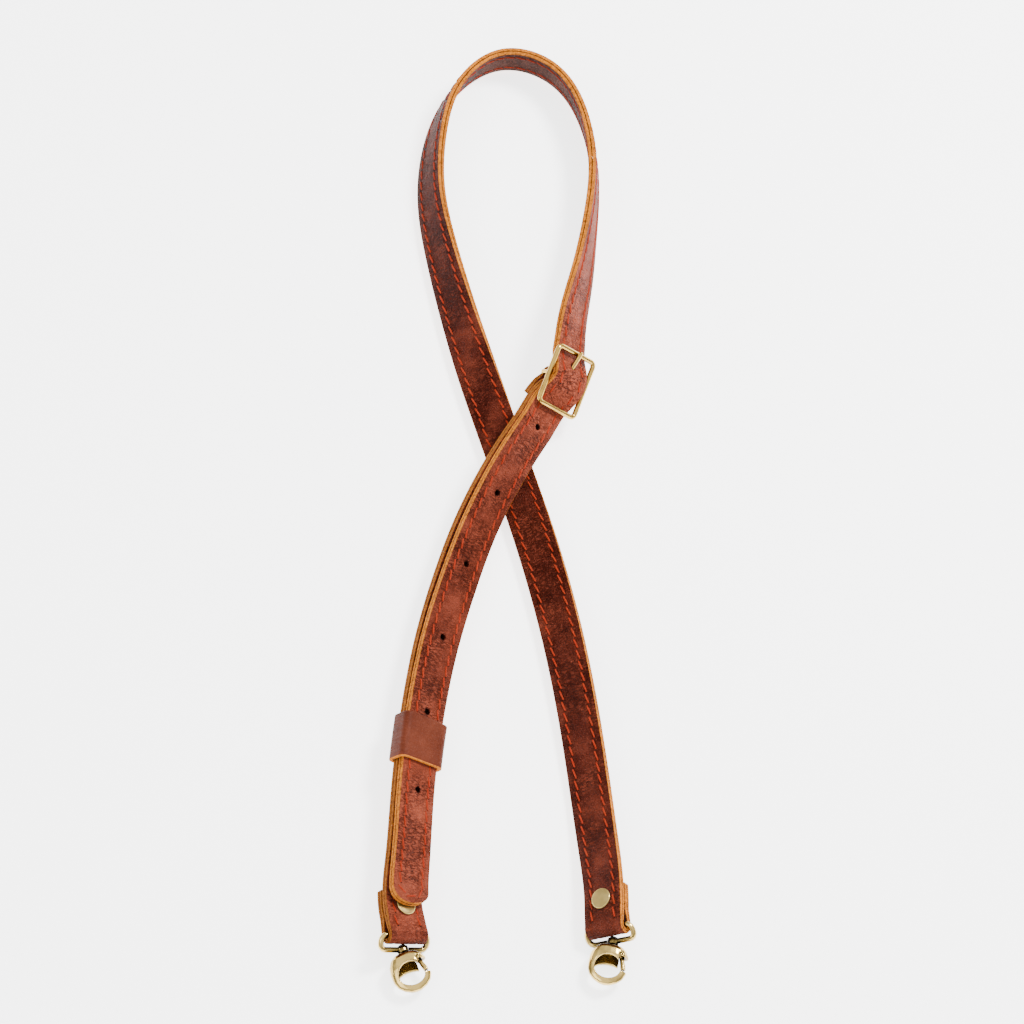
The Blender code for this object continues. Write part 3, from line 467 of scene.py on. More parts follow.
RING_RADIUS = RING_WIRE / 2
RING_FOLD = RING_RADIUS + GAP + THICKNESS * RING_SKIVE / 2
wave_starts, wave_ends = BUCKLE_AT + HUMP_REACH * BUCKLE_LENGTH / 2 * np.array((-1, 1))
main = np.concatenate([
    spaced(0, wave_starts, ROW_STEP)[:-1],
    spaced(wave_starts, wave_ends, WAVE_STEP)[:-1],
    spaced(wave_ends, TIP_AT - TIP_LENGTH, ROW_STEP)[:-1],
    TIP_AT - TIP_LENGTH * (1 - np.sin(np.linspace(0, 0.985, 24) * math.pi / 2)),
])
middle, heading, long_width, route_normal = route_frames(main)
long_middle = middle + route_normal * hump(main)[:, None]
long_normal = face_normals(long_middle, long_width)
tip = np.clip((main - (TIP_AT - TIP_LENGTH)) / TIP_LENGTH, 0, 1)
long_half = STRAP_WIDTH / 2 * np.sqrt(np.clip(1 - tip ** TIP_CURVE, 0.012, 1))
long_thick = THICKNESS * skive(main, RING_SKIVE)
right_bar = long_middle[0] - long_normal[0] * RING_FOLD
arc, arc_normal = fold_rows(right_bar, -heading[0], long_normal[0], RING_FOLD)
flap = spaced(0, FLAP_LENGTH, ROW_STEP)
flap_middle, _, flap_width, flap_normal = route_frames(flap)
apart = LAYER + (2 * RING_FOLD - LAYER) * (1 - ease(flap / SKIVE_RUN))
flap_middle = flap_middle - flap_normal * apart[:, None]
flap_normal = face_normals(flap_middle, flap_width)
half = STRAP_WIDTH / 2
long_rows = (
    np.concatenate([flap_middle[::-1], arc[::-1], long_middle]),
    np.concatenate([flap_width[::-1], np.repeat(long_width[:1], len(arc), 0), long_width]),
    np.concatenate([-flap_normal[::-1], arc_normal[::-1], long_normal]),
    np.concatenate([THICKNESS * skive(flap[::-1], RING_SKIVE),
                    np.full(len(arc), THICKNESS * RING_SKIVE), long_thick]),
    np.concatenate([np.full(len(flap) + len(arc), half), long_half]),
    np.concatenate([tone_at(flap[::-1]), np.full(len(arc), 0.16), tone_at(main)]),
)
long_run = np.concatenate([-RING_FOLD_RUN - flap[::-1],
                           np.linspace(-RING_FOLD_RUN, 0, len(arc) + 2)[1:-1], main])
long_face = ply("long_strap_face", long_rows, True, FACE_LEATHER, long_run)
long_lining = ply("long_strap_lining", long_rows, False, LINING_LEATHER, long_run)
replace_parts(long_face, "long_strap_front")
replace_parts(long_lining, "long_strap_back")

# The short strap
# The same two-ply leather, folded round the buckle's centre bar and round the left ring.  The
# billet lies over it and stands off it a little along the way.  Its raw edge is darkened with
# painted shade.
BUCKLE_FLAP_LENGTH = 0.0125
BUCKLE_FLAP_STEP = 0.0009
BUCKLE_FOLD_RUN = 0.006
# The short strap's leather, whose raw edge is darkened by painted shade
SHADED_LEATHER = leather("shaded_leather", DARK_FACE, LIGHT_FACE, creases=1.3, pebble=1.0,
                         rough=0.48, worn=0.62, bump=0.75)
SLIT_COLUMNS = ("way", "opening")
SLIT = np.array((
    (0.00, 0.00), (0.15, 0.25), (0.42, 0.50), (0.58, 0.15), (0.68, 0.05), (0.80, 0.08),
    (0.88, 0.25), (0.94, 0.50), (1.00, 0.55),
))


def standoff(at):
    """How far below the route the short strap's middle runs: half of both thicknesses, more on
    a slope, less the wave at the buckle, plus the opening between the two."""
    at = np.asarray(at, dtype=float)
    way = np.clip((at - BUCKLE_AT) / (ROUTE_END - BUCKLE_AT), 0, 1)
    opening = natural_cubic(column(SLIT, SLIT_COLUMNS, "way"),
                            column(SLIT, SLIT_COLUMNS, "opening"), way)
    probe = 1e-5
    steepness = (hump(at + probe) - hump(at - probe)) / (2 * probe)
    both = THICKNESS * (1 + skive(at - BUCKLE_AT, BUCKLE_SKIVE)) / 2 + GAP
    return both * np.sqrt(1 + steepness ** 2) - hump(at) + opening * THICKNESS


low = np.concatenate([spaced(BUCKLE_AT, wave_ends, WAVE_STEP)[:-1],
                      spaced(wave_ends, ROUTE_END, ROW_STEP)])
middle, heading, short_width, route_normal = route_frames(low)
short_middle = middle - route_normal * standoff(low)[:, None]
top_bar = short_middle[0] - route_normal[0] * BUCKLE_FOLD
left_bar = short_middle[-1] - route_normal[-1] * RING_FOLD
short_normal = face_normals(short_middle, short_width)
short_normal[0] = route_normal[0]
short_normal[-1] = route_normal[-1]
short_thick = THICKNESS * np.minimum(skive(low - BUCKLE_AT, BUCKLE_SKIVE),
                                     skive(ROUTE_END - low, RING_SKIVE))
top_arc, top_away = fold_rows(top_bar, -heading[0], short_normal[0], BUCKLE_FOLD)
top_flap = spaced(0, BUCKLE_FLAP_LENGTH, BUCKLE_FLAP_STEP)
top_middle, _, top_width, top_normal = route_frames(BUCKLE_AT + top_flap)
steepness = np.gradient(standoff(BUCKLE_AT + top_flap), top_flap)
steepness[0] = 0.0
top_apart = ((LAYER + (2 * BUCKLE_FOLD - LAYER) * (1 - ease(top_flap / SKIVE_RUN)))
             * np.sqrt(1 + steepness ** 2))
top_middle = top_middle - top_normal * (standoff(BUCKLE_AT + top_flap) + top_apart)[:, None]
top_normal = face_normals(top_middle, top_width)
end_arc, end_away = fold_rows(left_bar, heading[-1], short_normal[-1], RING_FOLD)
end_flap = spaced(0, FLAP_LENGTH, ROW_STEP)
end_middle, _, end_width, end_normal = route_frames(ROUTE_END - end_flap)
end_apart = LAYER + (2 * RING_FOLD - LAYER) * (1 - ease(end_flap / SKIVE_RUN))
end_middle = end_middle - end_normal * (standoff(ROUTE_END - end_flap) + end_apart)[:, None]
end_normal = face_normals(end_middle, end_width, -1.0)
short_count = len(top_flap) + len(top_arc) + len(low) + len(end_arc) + len(end_flap)
short_rows = (
    np.concatenate([top_middle[::-1], top_arc[::-1], short_middle, end_arc, end_middle]),
    np.concatenate([top_width[::-1], np.repeat(short_width[:1], len(top_arc), 0), short_width,
                    np.repeat(short_width[-1:], len(end_arc), 0), end_width]),
    np.concatenate([-top_normal[::-1], top_away[::-1], short_normal, end_away, -end_normal]),
    np.concatenate([THICKNESS * skive(top_flap[::-1], BUCKLE_SKIVE),
                    np.full(len(top_arc), THICKNESS * BUCKLE_SKIVE), short_thick,
                    np.full(len(end_arc), THICKNESS * RING_SKIVE),
                    THICKNESS * skive(end_flap, RING_SKIVE)]),
    np.full(short_count, half),
    np.concatenate([np.full(len(top_flap) + len(top_arc), 0.6), tone_at(low) * 0.95,
                    np.full(len(end_arc) + len(end_flap), 0.3)]),
)
short_run = np.concatenate([
    BUCKLE_AT - BUCKLE_FOLD_RUN - top_flap[::-1],
    np.linspace(-BUCKLE_FOLD_RUN, 0, len(top_arc) + 2)[1:-1] + BUCKLE_AT, low,
    np.linspace(0, RING_FOLD_RUN, len(end_arc) + 2)[1:-1] + ROUTE_END,
    ROUTE_END + RING_FOLD_RUN + end_flap])
short_face = ply("short_strap_face", short_rows, True, SHADED_LEATHER, short_run)
short_lining = ply("short_strap_lining", short_rows, False, SHADED_LEATHER, short_run)
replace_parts(short_face, "short_strap_front")
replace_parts(short_lining, "short_strap_back")

# The adjusting holes
# Six round holes punched clean through both plies of the billet, a stock distance apart, each cut
# out of the two strips with a round solid.
HOLE_RADIUS = 0.0014
HOLE_PITCH = 0.0377
FIRST_HOLE_FROM_BUCKLE = 0.0261
HOLE_COUNT = 6
HOLE_SIDES = 40


def cut_through(thing, cutter):
    """Applies an exact Boolean difference and drops the cutter."""
    step = thing.modifiers.new("cut", "BOOLEAN")
    step.operation = "DIFFERENCE"
    step.solver = "EXACT"
    step.object = cutter
    depsgraph = bpy.context.evaluated_depsgraph_get()
    data = bpy.data.meshes.new_from_object(thing.evaluated_get(depsgraph))
    thing.modifiers.remove(step)
    thing.data = data
    bpy.data.objects.remove(cutter, do_unlink=True)


def solid(name, data):
    """A plain object of a mesh with its normals outward, for cutting."""
    outward(data)
    thing = bpy.data.objects.new(name, data)
    bpy.context.scene.collection.objects.link(thing)
    return thing


turn = np.linspace(0, 2 * math.pi, HOLE_SIDES, endpoint=False)
for index in range(HOLE_COUNT):
    at = BUCKLE_AT + FIRST_HOLE_FROM_BUCKLE + index * HOLE_PITCH
    centre, heading_here, width_here, normal_here = route_frames(at)
    ring_points = (np.cos(turn)[:, None] * width_here + np.sin(turn)[:, None] * heading_here)
    levels = np.array([-THICKNESS, THICKNESS])[:, None, None] * normal_here
    punch = centre + levels + HOLE_RADIUS * ring_points[None]
    for piece in (long_face, long_lining):
        cut_through(piece, solid("punch", grid_mesh("punch", punch)))

# The seams
# Thick waxed thread in red-orange, sewn with a saddle stitch just under 4 mm from each edge, so
# that every stitch leans the same way and dives into a small awl hole.  Painted shade darkens the
# grooves of its twist and the ends of each stitch.
STITCH_PITCH = 0.0055
STITCH_LENGTH = 0.0066
THREAD_WIDTH = 0.00085
THREAD_RISE = 0.00048
STITCH_LEAN = math.radians(13)
STITCH_RINGS = 9
STITCH_SIDES = 8
TWIST_PER_METRE = 900
FIRST_STITCH_FROM_RING = 0.002
FIRST_STITCH_FROM_BUCKLE = 0.012
THREAD = bpy.data.materials.new("waxed_thread")
THREAD.use_nodes = True
tree = THREAD.node_tree
shader = tree.nodes["Principled BSDF"]
twist = put(tree, "ShaderNodeUVMap", {"uv_map": "along"}).outputs[0]
ply_wave = put(tree, "ShaderNodeTexWave", {"wave_type": "BANDS", "bands_direction": "DIAGONAL"},
               Vector=twist, Scale=2.2, Distortion=0.6).outputs["Fac"]
shade = noise(tree, put(tree, "ShaderNodeTexCoord").outputs["Object"], 330.0, 2.0)
# Painted shade: darker bands in the grooves between the thread's twisted plies
colour = blend_colour(tree, ramp(tree, ply_wave, 0.1, 0.6), (0.11, 0.007, 0.002, 1),
                      (0.38, 0.026, 0.005, 1))
colour = blend_colour(tree, ramp(tree, shade, 0.35, 0.75, 0.0, 0.4), colour,
                      (0.27, 0.045, 0.012, 1))
# Painted shade: each stitch darkened at its ends, where it dives into its awl hole
stitch_end_shade_reach = maths(tree, "ABSOLUTE", put(tree, "ShaderNodeSeparateXYZ", None, Vector=twist).outputs["X"])
colour = blend_colour(tree, ramp(tree, stitch_end_shade_reach, 2.0, 2.35), colour, (0.014, 0.003, 0.002, 1))
tree.links.new(colour, shader.inputs["Base Color"])
shader.inputs["Roughness"].default_value = 0.7
shader.inputs["Specular IOR Level"].default_value = 0.12
tree.links.new(put(tree, "ShaderNodeBump", None, Height=ply_wave, Strength=0.5,
                   Distance=0.0002).outputs[0], shader.inputs["Normal"])


def stitches(at, across, place_at, lean):
    """Stitches along a line of places on a strip: each is a spindle, an ellipse round its middle
    whose size falls to nothing at both ends with the square root of a parabola."""
    step = np.hypot(np.diff(at), np.diff(across))
    run = np.concatenate([[0.0], np.cumsum(step)])
    count = int(run[-1] / STITCH_PITCH)
    spot = (np.arange(count) + 0.5) * run[-1] / count
    s = np.interp(spot, run, at)
    x = np.interp(spot, run, across)
    probe = 4e-4
    ds = np.interp(spot + probe, run, at) - np.interp(spot - probe, run, at)
    dx = np.interp(spot + probe, run, across) - np.interp(spot - probe, run, across)
    centre, forward, sideways, outward = place_at(s, x)
    length = np.hypot(ds, dx)[:, None]
    ahead = unit(forward * ds[:, None] / length + sideways * dx[:, None] / length)
    beside = np.cross(outward, ahead)
    ahead, beside = (ahead * math.cos(lean) + beside * math.sin(lean),
                     beside * math.cos(lean) - ahead * math.sin(lean))
    shape = (STITCH_RINGS, STITCH_SIDES)
    share = np.linspace(-1, 1, STITCH_RINGS)
    round_turn = np.linspace(0, 2 * math.pi, STITCH_SIDES, endpoint=False)
    size = np.sqrt(np.clip(1 - share ** 2, 0, 1)) ** 0.45
    sink = -THREAD_RISE * 0.38 * share ** 4
    local_a = np.broadcast_to((share * STITCH_LENGTH / 2)[:, None], shape)
    local_b = THREAD_WIDTH / 2 * size[:, None] * np.cos(round_turn)
    local_c = THREAD_RISE * size[:, None] * np.sin(round_turn) + sink[:, None] + THREAD_RISE * 0.15
    points = (centre[:, None, None] + ahead[:, None, None] * local_a[None, ..., None]
              + beside[:, None, None] * local_b[None, ..., None]
              + outward[:, None, None] * local_c[None, ..., None]).reshape(-1, 3)
    cell = np.arange(STITCH_RINGS * STITCH_SIDES).reshape(shape)
    quads = np.stack([cell[:-1], cell[1:], np.roll(cell[1:], -1, 1), np.roll(cell[:-1], -1, 1)],
                     -1).reshape(-1, 4)
    faces = (quads[None] + (np.arange(count) * cell.size)[:, None, None]).reshape(-1, 4)
    uv = np.stack([local_a * TWIST_PER_METRE, np.broadcast_to(round_turn, shape) / 2], -1)
    uv = np.broadcast_to(uv, (count, *shape, 2)).reshape(-1, 2)
    return points, faces, uv


def thread_piece(name, runs):
    """All the stitches of a strap as one piece."""
    points, faces, uvs = [], [], []
    base = 0
    for made, quads, uv in runs:
        points.append(made)
        faces.append(quads + base)
        uvs.append(uv)
        base += len(made)
    data = bpy.data.meshes.new(name)
    data.from_pydata(np.concatenate(points).tolist(), [], np.concatenate(faces).tolist())
    corners = np.empty(len(data.loops), dtype=np.int32)
    data.loops.foreach_get("vertex_index", corners)
    layer = data.uv_layers.new(name="along")
    layer.data.foreach_set("uv", np.concatenate(uvs)[corners].astype(np.float32).ravel())
    outward(data, weld=2e-6)
    data.shade_smooth()
    return new_piece(name, data, THREAD, "strap")


def on_strip(run, centre, width, normal, thick, side):
    """A function that places points on one face of a strip, by distance along and across."""
    def place_at(s, x):
        def at_s(values):
            return np.stack([np.interp(s, run, values[:, k]) for k in range(3)], 1)
        w = unit(at_s(width))
        n = unit(at_s(normal)) * side
        forward = np.cross(unit(at_s(normal)), w)
        up = np.interp(s, run, thick) / 2 - SEAM_DEPTH
        return at_s(centre) + w * x[:, None] + n * up[:, None], forward, w, n
    return place_at


seam = half - SEAM_INSET
bend = np.linspace(-math.pi / 2, math.pi / 2, 25)
tip_run = TIP_AT - TIP_LENGTH + (TIP_LENGTH - SEAM_INSET * 0.9) * np.cos(bend)
line_run = np.linspace(FIRST_STITCH_FROM_RING, TIP_AT - TIP_LENGTH, 300)[:-1]
long_at = np.concatenate([line_run, tip_run, line_run[::-1]])
long_across = np.concatenate([np.full(len(line_run), -seam), seam * np.sin(bend),
                              np.full(len(line_run), seam)])
faces_and_leans = ((1.0, STITCH_LEAN), (-1.0, -STITCH_LEAN))
long_seams = [
    stitches(long_at, long_across,
             on_strip(main, long_middle, long_width, long_normal, long_thick, side), lean)
    for side, lean in faces_and_leans]
thread_piece("long_strap_thread", long_seams)
short_at = np.linspace(BUCKLE_AT + FIRST_STITCH_FROM_BUCKLE, ROUTE_END - FIRST_STITCH_FROM_RING,
                       200)
short_seams = [
    stitches(short_at, np.full(len(short_at), line),
             on_strip(low, short_middle, short_width, short_normal, short_thick, side), lean)
    for line in (-seam, seam) for side, lean in faces_and_leans]
thread_piece("short_strap_thread", short_seams)

# The keeper
# A plain band of one ply, darker and smoother than the straps, round both of them near the end.
KEEPER_WALL = 0.0018
KEEPER_LENGTH = 0.0215
KEEPER_SLACK = 0.0005
KEEPER_EDGE_ROUND = 0.0005
KEEPER_ROW = 27
KEEPER_TONE = 0.45
EDGE_POINTS = 6
FLAT_POINTS = 10
SWEEP_POINTS = 8
KEEPER_LEATHER = leather("keeper_leather", (0.050, 0.008, 0.003), (0.145, 0.036, 0.018),
                         creases=0.3, pebble=0.5, rough=0.40, worn=0.0, bump=0.30)


def quarters(count):
    """Cosines and sines round four quarter circles, each with both of its ends."""
    turn = np.concatenate([np.linspace(0, math.pi / 2, count) + k * math.pi / 2 for k in range(4)])
    return np.cos(turn), np.sin(turn)


# The wall's own section, along the strap and up, which is then carried round both straps
keeper_middle = 0.5 * (distance[KEEPER_ROW] + distance[KEEPER_ROW + 1])
wall_half = KEEPER_WALL / 2
corner_along, corner_up = quarters(EDGE_POINTS)
sign_along = np.repeat([1, -1, -1, 1], EDGE_POINTS)
sign_up = np.repeat([1, 1, -1, -1], EDGE_POINTS)
top_edge = KEEPER_LENGTH / 2 - KEEPER_EDGE_ROUND
round_along = sign_along * top_edge + KEEPER_EDGE_ROUND * corner_along
round_up = sign_up * (wall_half - KEEPER_EDGE_ROUND) + KEEPER_EDGE_ROUND * corner_up
flat = np.linspace(-top_edge, top_edge, FLAT_POINTS + 2)[1:-1]
outer, inner = slice(0, EDGE_POINTS), slice(EDGE_POINTS, 3 * EDGE_POINTS)
last = slice(3 * EDGE_POINTS, None)
band_along = np.concatenate([round_along[outer], flat[::-1], round_along[inner], flat,
                             round_along[last]])
band_up = np.concatenate([round_up[outer], np.full(FLAT_POINTS, wall_half), round_up[inner],
                          np.full(FLAT_POINTS, -wall_half), round_up[last]])
band_raw = (band_along > top_edge + KEEPER_EDGE_ROUND * 0.3).astype(float)
centre, _, width, normal = route_frames(keeper_middle + band_along)
deep = standoff(keeper_middle + band_along)
inner_half = STRAP_WIDTH / 2 + KEEPER_SLACK
inner_top = THICKNESS / 2 + KEEPER_SLACK
corner_round = inner_top * 0.6
outline_x = np.repeat([1.0, -1.0, -1.0, 1.0], SWEEP_POINTS)
outline_z = np.repeat([1.0, 1.0, -1.0, -1.0], SWEEP_POINTS)
corner_x, corner_z = quarters(SWEEP_POINTS)
grow = corner_round + wall_half + band_up[:, None]
across = outline_x * (inner_half - corner_round) + corner_x * grow
low_edge = -(deep[:, None] + inner_top) + corner_round
up = np.where(outline_z > 0, inner_top - corner_round, low_edge) + corner_z * grow
points = centre[:, None] + width[:, None] * across[..., None] + normal[:, None] * up[..., None]
shape = across.shape
band_uv = np.stack([np.broadcast_to(band_along[:, None], shape), across], -1)
keeper_mesh = grid_mesh(
    "keeper_band", points, closed=True,
    attributes=[("raw", np.broadcast_to(band_raw[:, None], shape)),
                ("seam_side", np.zeros(shape)), ("tone", np.full(shape, KEEPER_TONE))],
    uv=band_uv * PATTERN_PER_METRE)
outward(keeper_mesh)
keeper = new_piece("keeper_band", keeper_mesh, KEEPER_LEATHER, "strap")
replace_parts(keeper, "keeper")

# The buckle
# A rectangle of round brass wire with a centre bar soldered under its rails, and a wire prong
# bent round that bar.  Polished, with fine scratches.
BUCKLE_SIDE_SLACK = 0.0006
PRONG_WIRE = 0.0021
BOW = 1e-9


def tube(path, radius, sides=24, closed=False):
    """Points of a round wire: circles square to the path, each turned as little as can be from
    the last, which a fixed side direction gives for a path in one plane."""
    run = unit(np.roll(path, -1, 0) - np.roll(path, 1, 0)) if closed else unit(
        np.gradient(path, axis=0))
    flat = np.linalg.svd(path - path.mean(0))[2][2]
    side = unit(np.cross(run, flat))
    turn = np.linspace(0, 2 * math.pi, sides, endpoint=False)
    radius = np.broadcast_to(np.asarray(radius, dtype=float), (len(path),))[:, None, None]
    ring = (np.cos(turn)[None, :, None] * side[:, None] + np.sin(turn)[None, :, None] * flat)
    return path[:, None] + radius * ring


polish, polish_in, polish_out = group(
    "worn_brass", [("Tarnish", "f")], [("Mask", "f"), ("Roughness", "f"), ("Height", "f")])
place = put(polish, "ShaderNodeTexCoord").outputs["Object"]
patches = noise(polish, place, 150.0, 2.0, 0.45)
scratches = noise(polish, put(polish, "ShaderNodeMapping", None, Vector=place,
                              Rotation=(0.3, 0.6, 0.9), Scale=(9.0, 1.0, 1.0)).outputs[0],
                  600.0, 3.0, 0.7)
mask = ramp(polish, maths(polish, "ADD", patches, maths(
    polish, "MULTIPLY", maths(polish, "SUBTRACT", polish_in.outputs["Tarnish"], 0.5), 0.6)),
    0.38, 0.80)
polish.links.new(mask, polish_out.inputs["Mask"])
polish.links.new(maths(polish, "ADD", ramp(polish, scratches, 0.3, 0.8, 0.0, 0.13),
                       maths(polish, "MULTIPLY", mask, 0.16)), polish_out.inputs["Roughness"])
polish.links.new(maths(polish, "ADD", scratches, patches), polish_out.inputs["Height"])


def brass(name, bright, tarnished, tarnish, rough, bump=0.05):
    """Brass from bright to tarnished in patches, and darker in its hollows and where other parts
    lie close: tarnish in the hollows in part, painted shade in part.
    """
    material = bpy.data.materials.new(name)
    material.use_nodes = True
    tree = material.node_tree
    shader = tree.nodes["Principled BSDF"]
    worn = put(tree, "ShaderNodeGroup", {"node_tree": polish}, Tarnish=tarnish)
    # Darker where ambient occlusion finds surfaces within 6 mm: tarnish in the brass's own hollows,
    # painted shade where it lies near the strap and floor
    hollow_tarnish_and_shade = put(tree, "ShaderNodeAmbientOcclusion", {"samples": 8}, Distance=0.006).outputs["AO"]
    share = maths(tree, "MAXIMUM", worn.outputs["Mask"], ramp(tree, hollow_tarnish_and_shade, 0.52, 0.95, 1.0, 0.0))
    tree.links.new(blend_colour(tree, share, (*bright, 1), (*tarnished, 1)),
                   shader.inputs["Base Color"])
    shader.inputs["Metallic"].default_value = 1.0
    tree.links.new(maths(tree, "ADD", worn.outputs["Roughness"], rough),
                   shader.inputs["Roughness"])
    tree.links.new(put(tree, "ShaderNodeBump", None, Height=worn.outputs["Height"], Strength=bump,
                       Distance=0.0002).outputs[0], shader.inputs["Normal"])
    return material


POLISHED = brass("polished_brass", (0.58, 0.36, 0.080), (0.24, 0.13, 0.028), tarnish=0.34,
                 rough=0.13)


def joined(name, grids, material, body, closed=()):
    """Several point grids as one piece, each a closed skin with outward normals."""
    whole = bmesh.new()
    for k, points in enumerate(grids):
        whole.from_mesh(grid_mesh(name, points, closed=k in closed))
    bmesh.ops.recalc_face_normals(whole, faces=whole.faces)
    data = bpy.data.meshes.new(name)
    whole.to_mesh(data)
    whole.free()
    data.shade_smooth()
    data.set_sharp_from_angle(angle=math.radians(50))
    return new_piece(name, data, material, body)


def round_loop(width, length, radius, count=14):
    """A closed rectangle with round corners in a plane, as points: four quarter circles."""
    corners = []
    for k, (sx, sy) in enumerate(((1, 1), (-1, 1), (-1, -1), (1, -1))):
        turn = np.radians(90 * k) + np.linspace(0, math.pi / 2, count)
        corners.append(np.stack([sx * (width / 2 - radius) + radius * np.cos(turn),
                                 sy * (length / 2 - radius) + radius * np.sin(turn)], 1))
    return np.concatenate(corners)


centre, heading_here, width_here, normal_here = (v[0] for v in route_frames(BUCKLE_AT))
lean = BUCKLE_TILT
buckle_y = -heading_here * math.cos(lean) + normal_here * math.sin(lean)
buckle_z = normal_here * math.cos(lean) + heading_here * math.sin(lean)
buckle_x = -width_here
pivot = centre + normal_here * CENTRE_BAR


def in_buckle(x, y, z):
    """Points in the leaning buckle's own frame, about its centre bar."""
    x, y, z = np.broadcast_arrays(*[np.asarray(v, dtype=float) for v in (x, y, z)])
    return (pivot + x[..., None] * buckle_x + y[..., None] * buckle_y
            + (z - CENTRE_BAR)[..., None] * buckle_z)


rail = STRAP_WIDTH + 2 * BUCKLE_SIDE_SLACK + BUCKLE_WIRE
loop = round_loop(rail, BUCKLE_LENGTH, BUCKLE_WIRE * 0.9)
seat = BAR_RADIUS * 0.25
# Straight wires bow by nanometres, which gives their path a plane
bar_line = np.linspace(-rail / 2 - seat, rail / 2 + seat, 12)
bar_bow = BOW * np.arange(len(bar_line)) ** 2
drop = np.linspace(CENTRE_BAR - seat, OUTER_BAR, 8)
drop_bow = BOW * np.arange(len(drop)) ** 2
grids = [tube(in_buckle(loop[:, 0], loop[:, 1], OUTER_BAR), BAR_RADIUS, 28, True),
         tube(in_buckle(bar_line, bar_bow, CENTRE_BAR), BAR_RADIUS, 28)]
for sx in (-1, 1):
    grids.append(tube(in_buckle(sx * rail / 2, drop_bow, drop), BAR_RADIUS * 0.9, 24))
buckle = joined("buckle_wire", grids, POLISHED, "strap", closed=(0,))
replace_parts(buckle, "buckle_frame")
prong_radius = PRONG_WIRE / 2
eye = BAR_RADIUS + GAP + prong_radius
tip_height = OUTER_BAR + BAR_RADIUS + 3 * GAP + prong_radius
tip_reach = BUCKLE_LENGTH / 2 + BAR_RADIUS * 1.1
prong_lean = math.atan2(tip_height - CENTRE_BAR - eye, tip_reach)
turn = np.linspace(math.radians(-140), math.radians(90), 40) + prong_lean
bend_y = -eye * np.cos(turn)
bend_z = CENTRE_BAR + eye * np.sin(turn)
share = np.linspace(0, 1, 24)[1:]
prong_y = np.concatenate([bend_y, bend_y[-1] + (tip_reach - bend_y[-1]) * share])
prong_z = np.concatenate([bend_z, bend_z[-1] + (tip_height - bend_z[-1]) * share])
thin = np.concatenate([np.full(len(prong_y) - 4, 1.0), [0.97, 0.9, 0.76, 0.5]])
prong = joined("buckle_tongue", [tube(in_buckle(0, prong_y, prong_z), prong_radius * thin, 20)],
               POLISHED, "strap")
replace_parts(prong, "buckle_prong")
shank = 28
for piece in (long_face, long_lining):
    slot_path = tube(in_buckle(0, prong_y[shank:], prong_z[shank:]), prong_radius + GAP, 16)
    cut_through(piece, solid("prong_way", grid_mesh("prong_way", slot_path)))
for piece in (short_face, short_lining):
    stretch = 1 + (eye + 3 * GAP) / (prong_radius + GAP)
    around = np.linspace(0, 2 * math.pi, 24, endpoint=False)
    slot_x = (prong_radius + GAP) * np.cos(around)
    slot_y = (prong_radius + GAP) * stretch * np.sin(around)
    slot_path = np.stack([in_buckle(slot_x, slot_y, level) for level in (-LAYER * 3, LAYER)])
    cut_through(piece, solid("prong_gap", grid_mesh("prong_gap", slot_path)))

# The rivets
# A flat round brass cap with a bright rim, set through each folded end just above its ring.
RIVET_CAP = 0.0094
RIVET_CAP_HEIGHT = 0.0011
RIVET_FROM_BAR = 0.0118
RIVET_POST = 0.0028
RIVET_BRASS = brass("rivet_brass", (0.66, 0.50, 0.18), (0.36, 0.26, 0.08), tarnish=0.55,
                    rough=0.26, bump=0.08)


def turned(centre, x_axis, y_axis, z_axis, profile, sides=56):
    """Points of a shape turned about an axis: a circle of each profile radius at its height."""
    around = np.linspace(0, 2 * math.pi, sides, endpoint=False)
    ring = np.cos(around)[:, None] * x_axis + np.sin(around)[:, None] * y_axis
    return centre + profile[:, 0, None, None] * ring + profile[:, 1, None, None] * z_axis


cap = RIVET_CAP / 2
rim = RIVET_CAP_HEIGHT * 0.45
post = RIVET_POST / 2
left_at = ROUTE_END - RIVET_FROM_BAR
for name, node, at, below in (("rivet_cap_right", "rivet_right", RIVET_FROM_BAR, 0.0),
                              ("rivet_cap_left", "rivet_left", left_at, float(standoff(left_at)))):
    centre, heading_here, width_here, normal_here = (v[0] for v in route_frames(at))
    top = THICKNESS / 2 + 2 * GAP
    foot = -LAYER - THICKNESS / 2 - 2 * GAP
    profile = np.array((
        (0.0001, foot - rim), (cap * 0.8, foot - rim), (cap * 0.96, foot - rim * 0.85),
        (cap, foot - rim * 0.4), (cap, foot), (post, foot), (post, top), (cap * 0.97, top),
        (cap, top + rim * 0.3), (cap, top + rim * 0.9), (cap * 0.985, top + rim * 1.3),
        (cap * 0.95, top + rim * 1.6), (cap * 0.90, top + rim * 1.68),
        (cap * 0.84, top + rim * 1.5), (cap * 0.78, top + rim * 1.56),
        (cap * 0.4, top + RIVET_CAP_HEIGHT * 0.96), (0.0001, top + RIVET_CAP_HEIGHT)))
    grid = turned(centre - normal_here * below, -width_here, -heading_here, normal_here, profile)
    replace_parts(joined(name, [grid], RIVET_BRASS, "strap"), node)
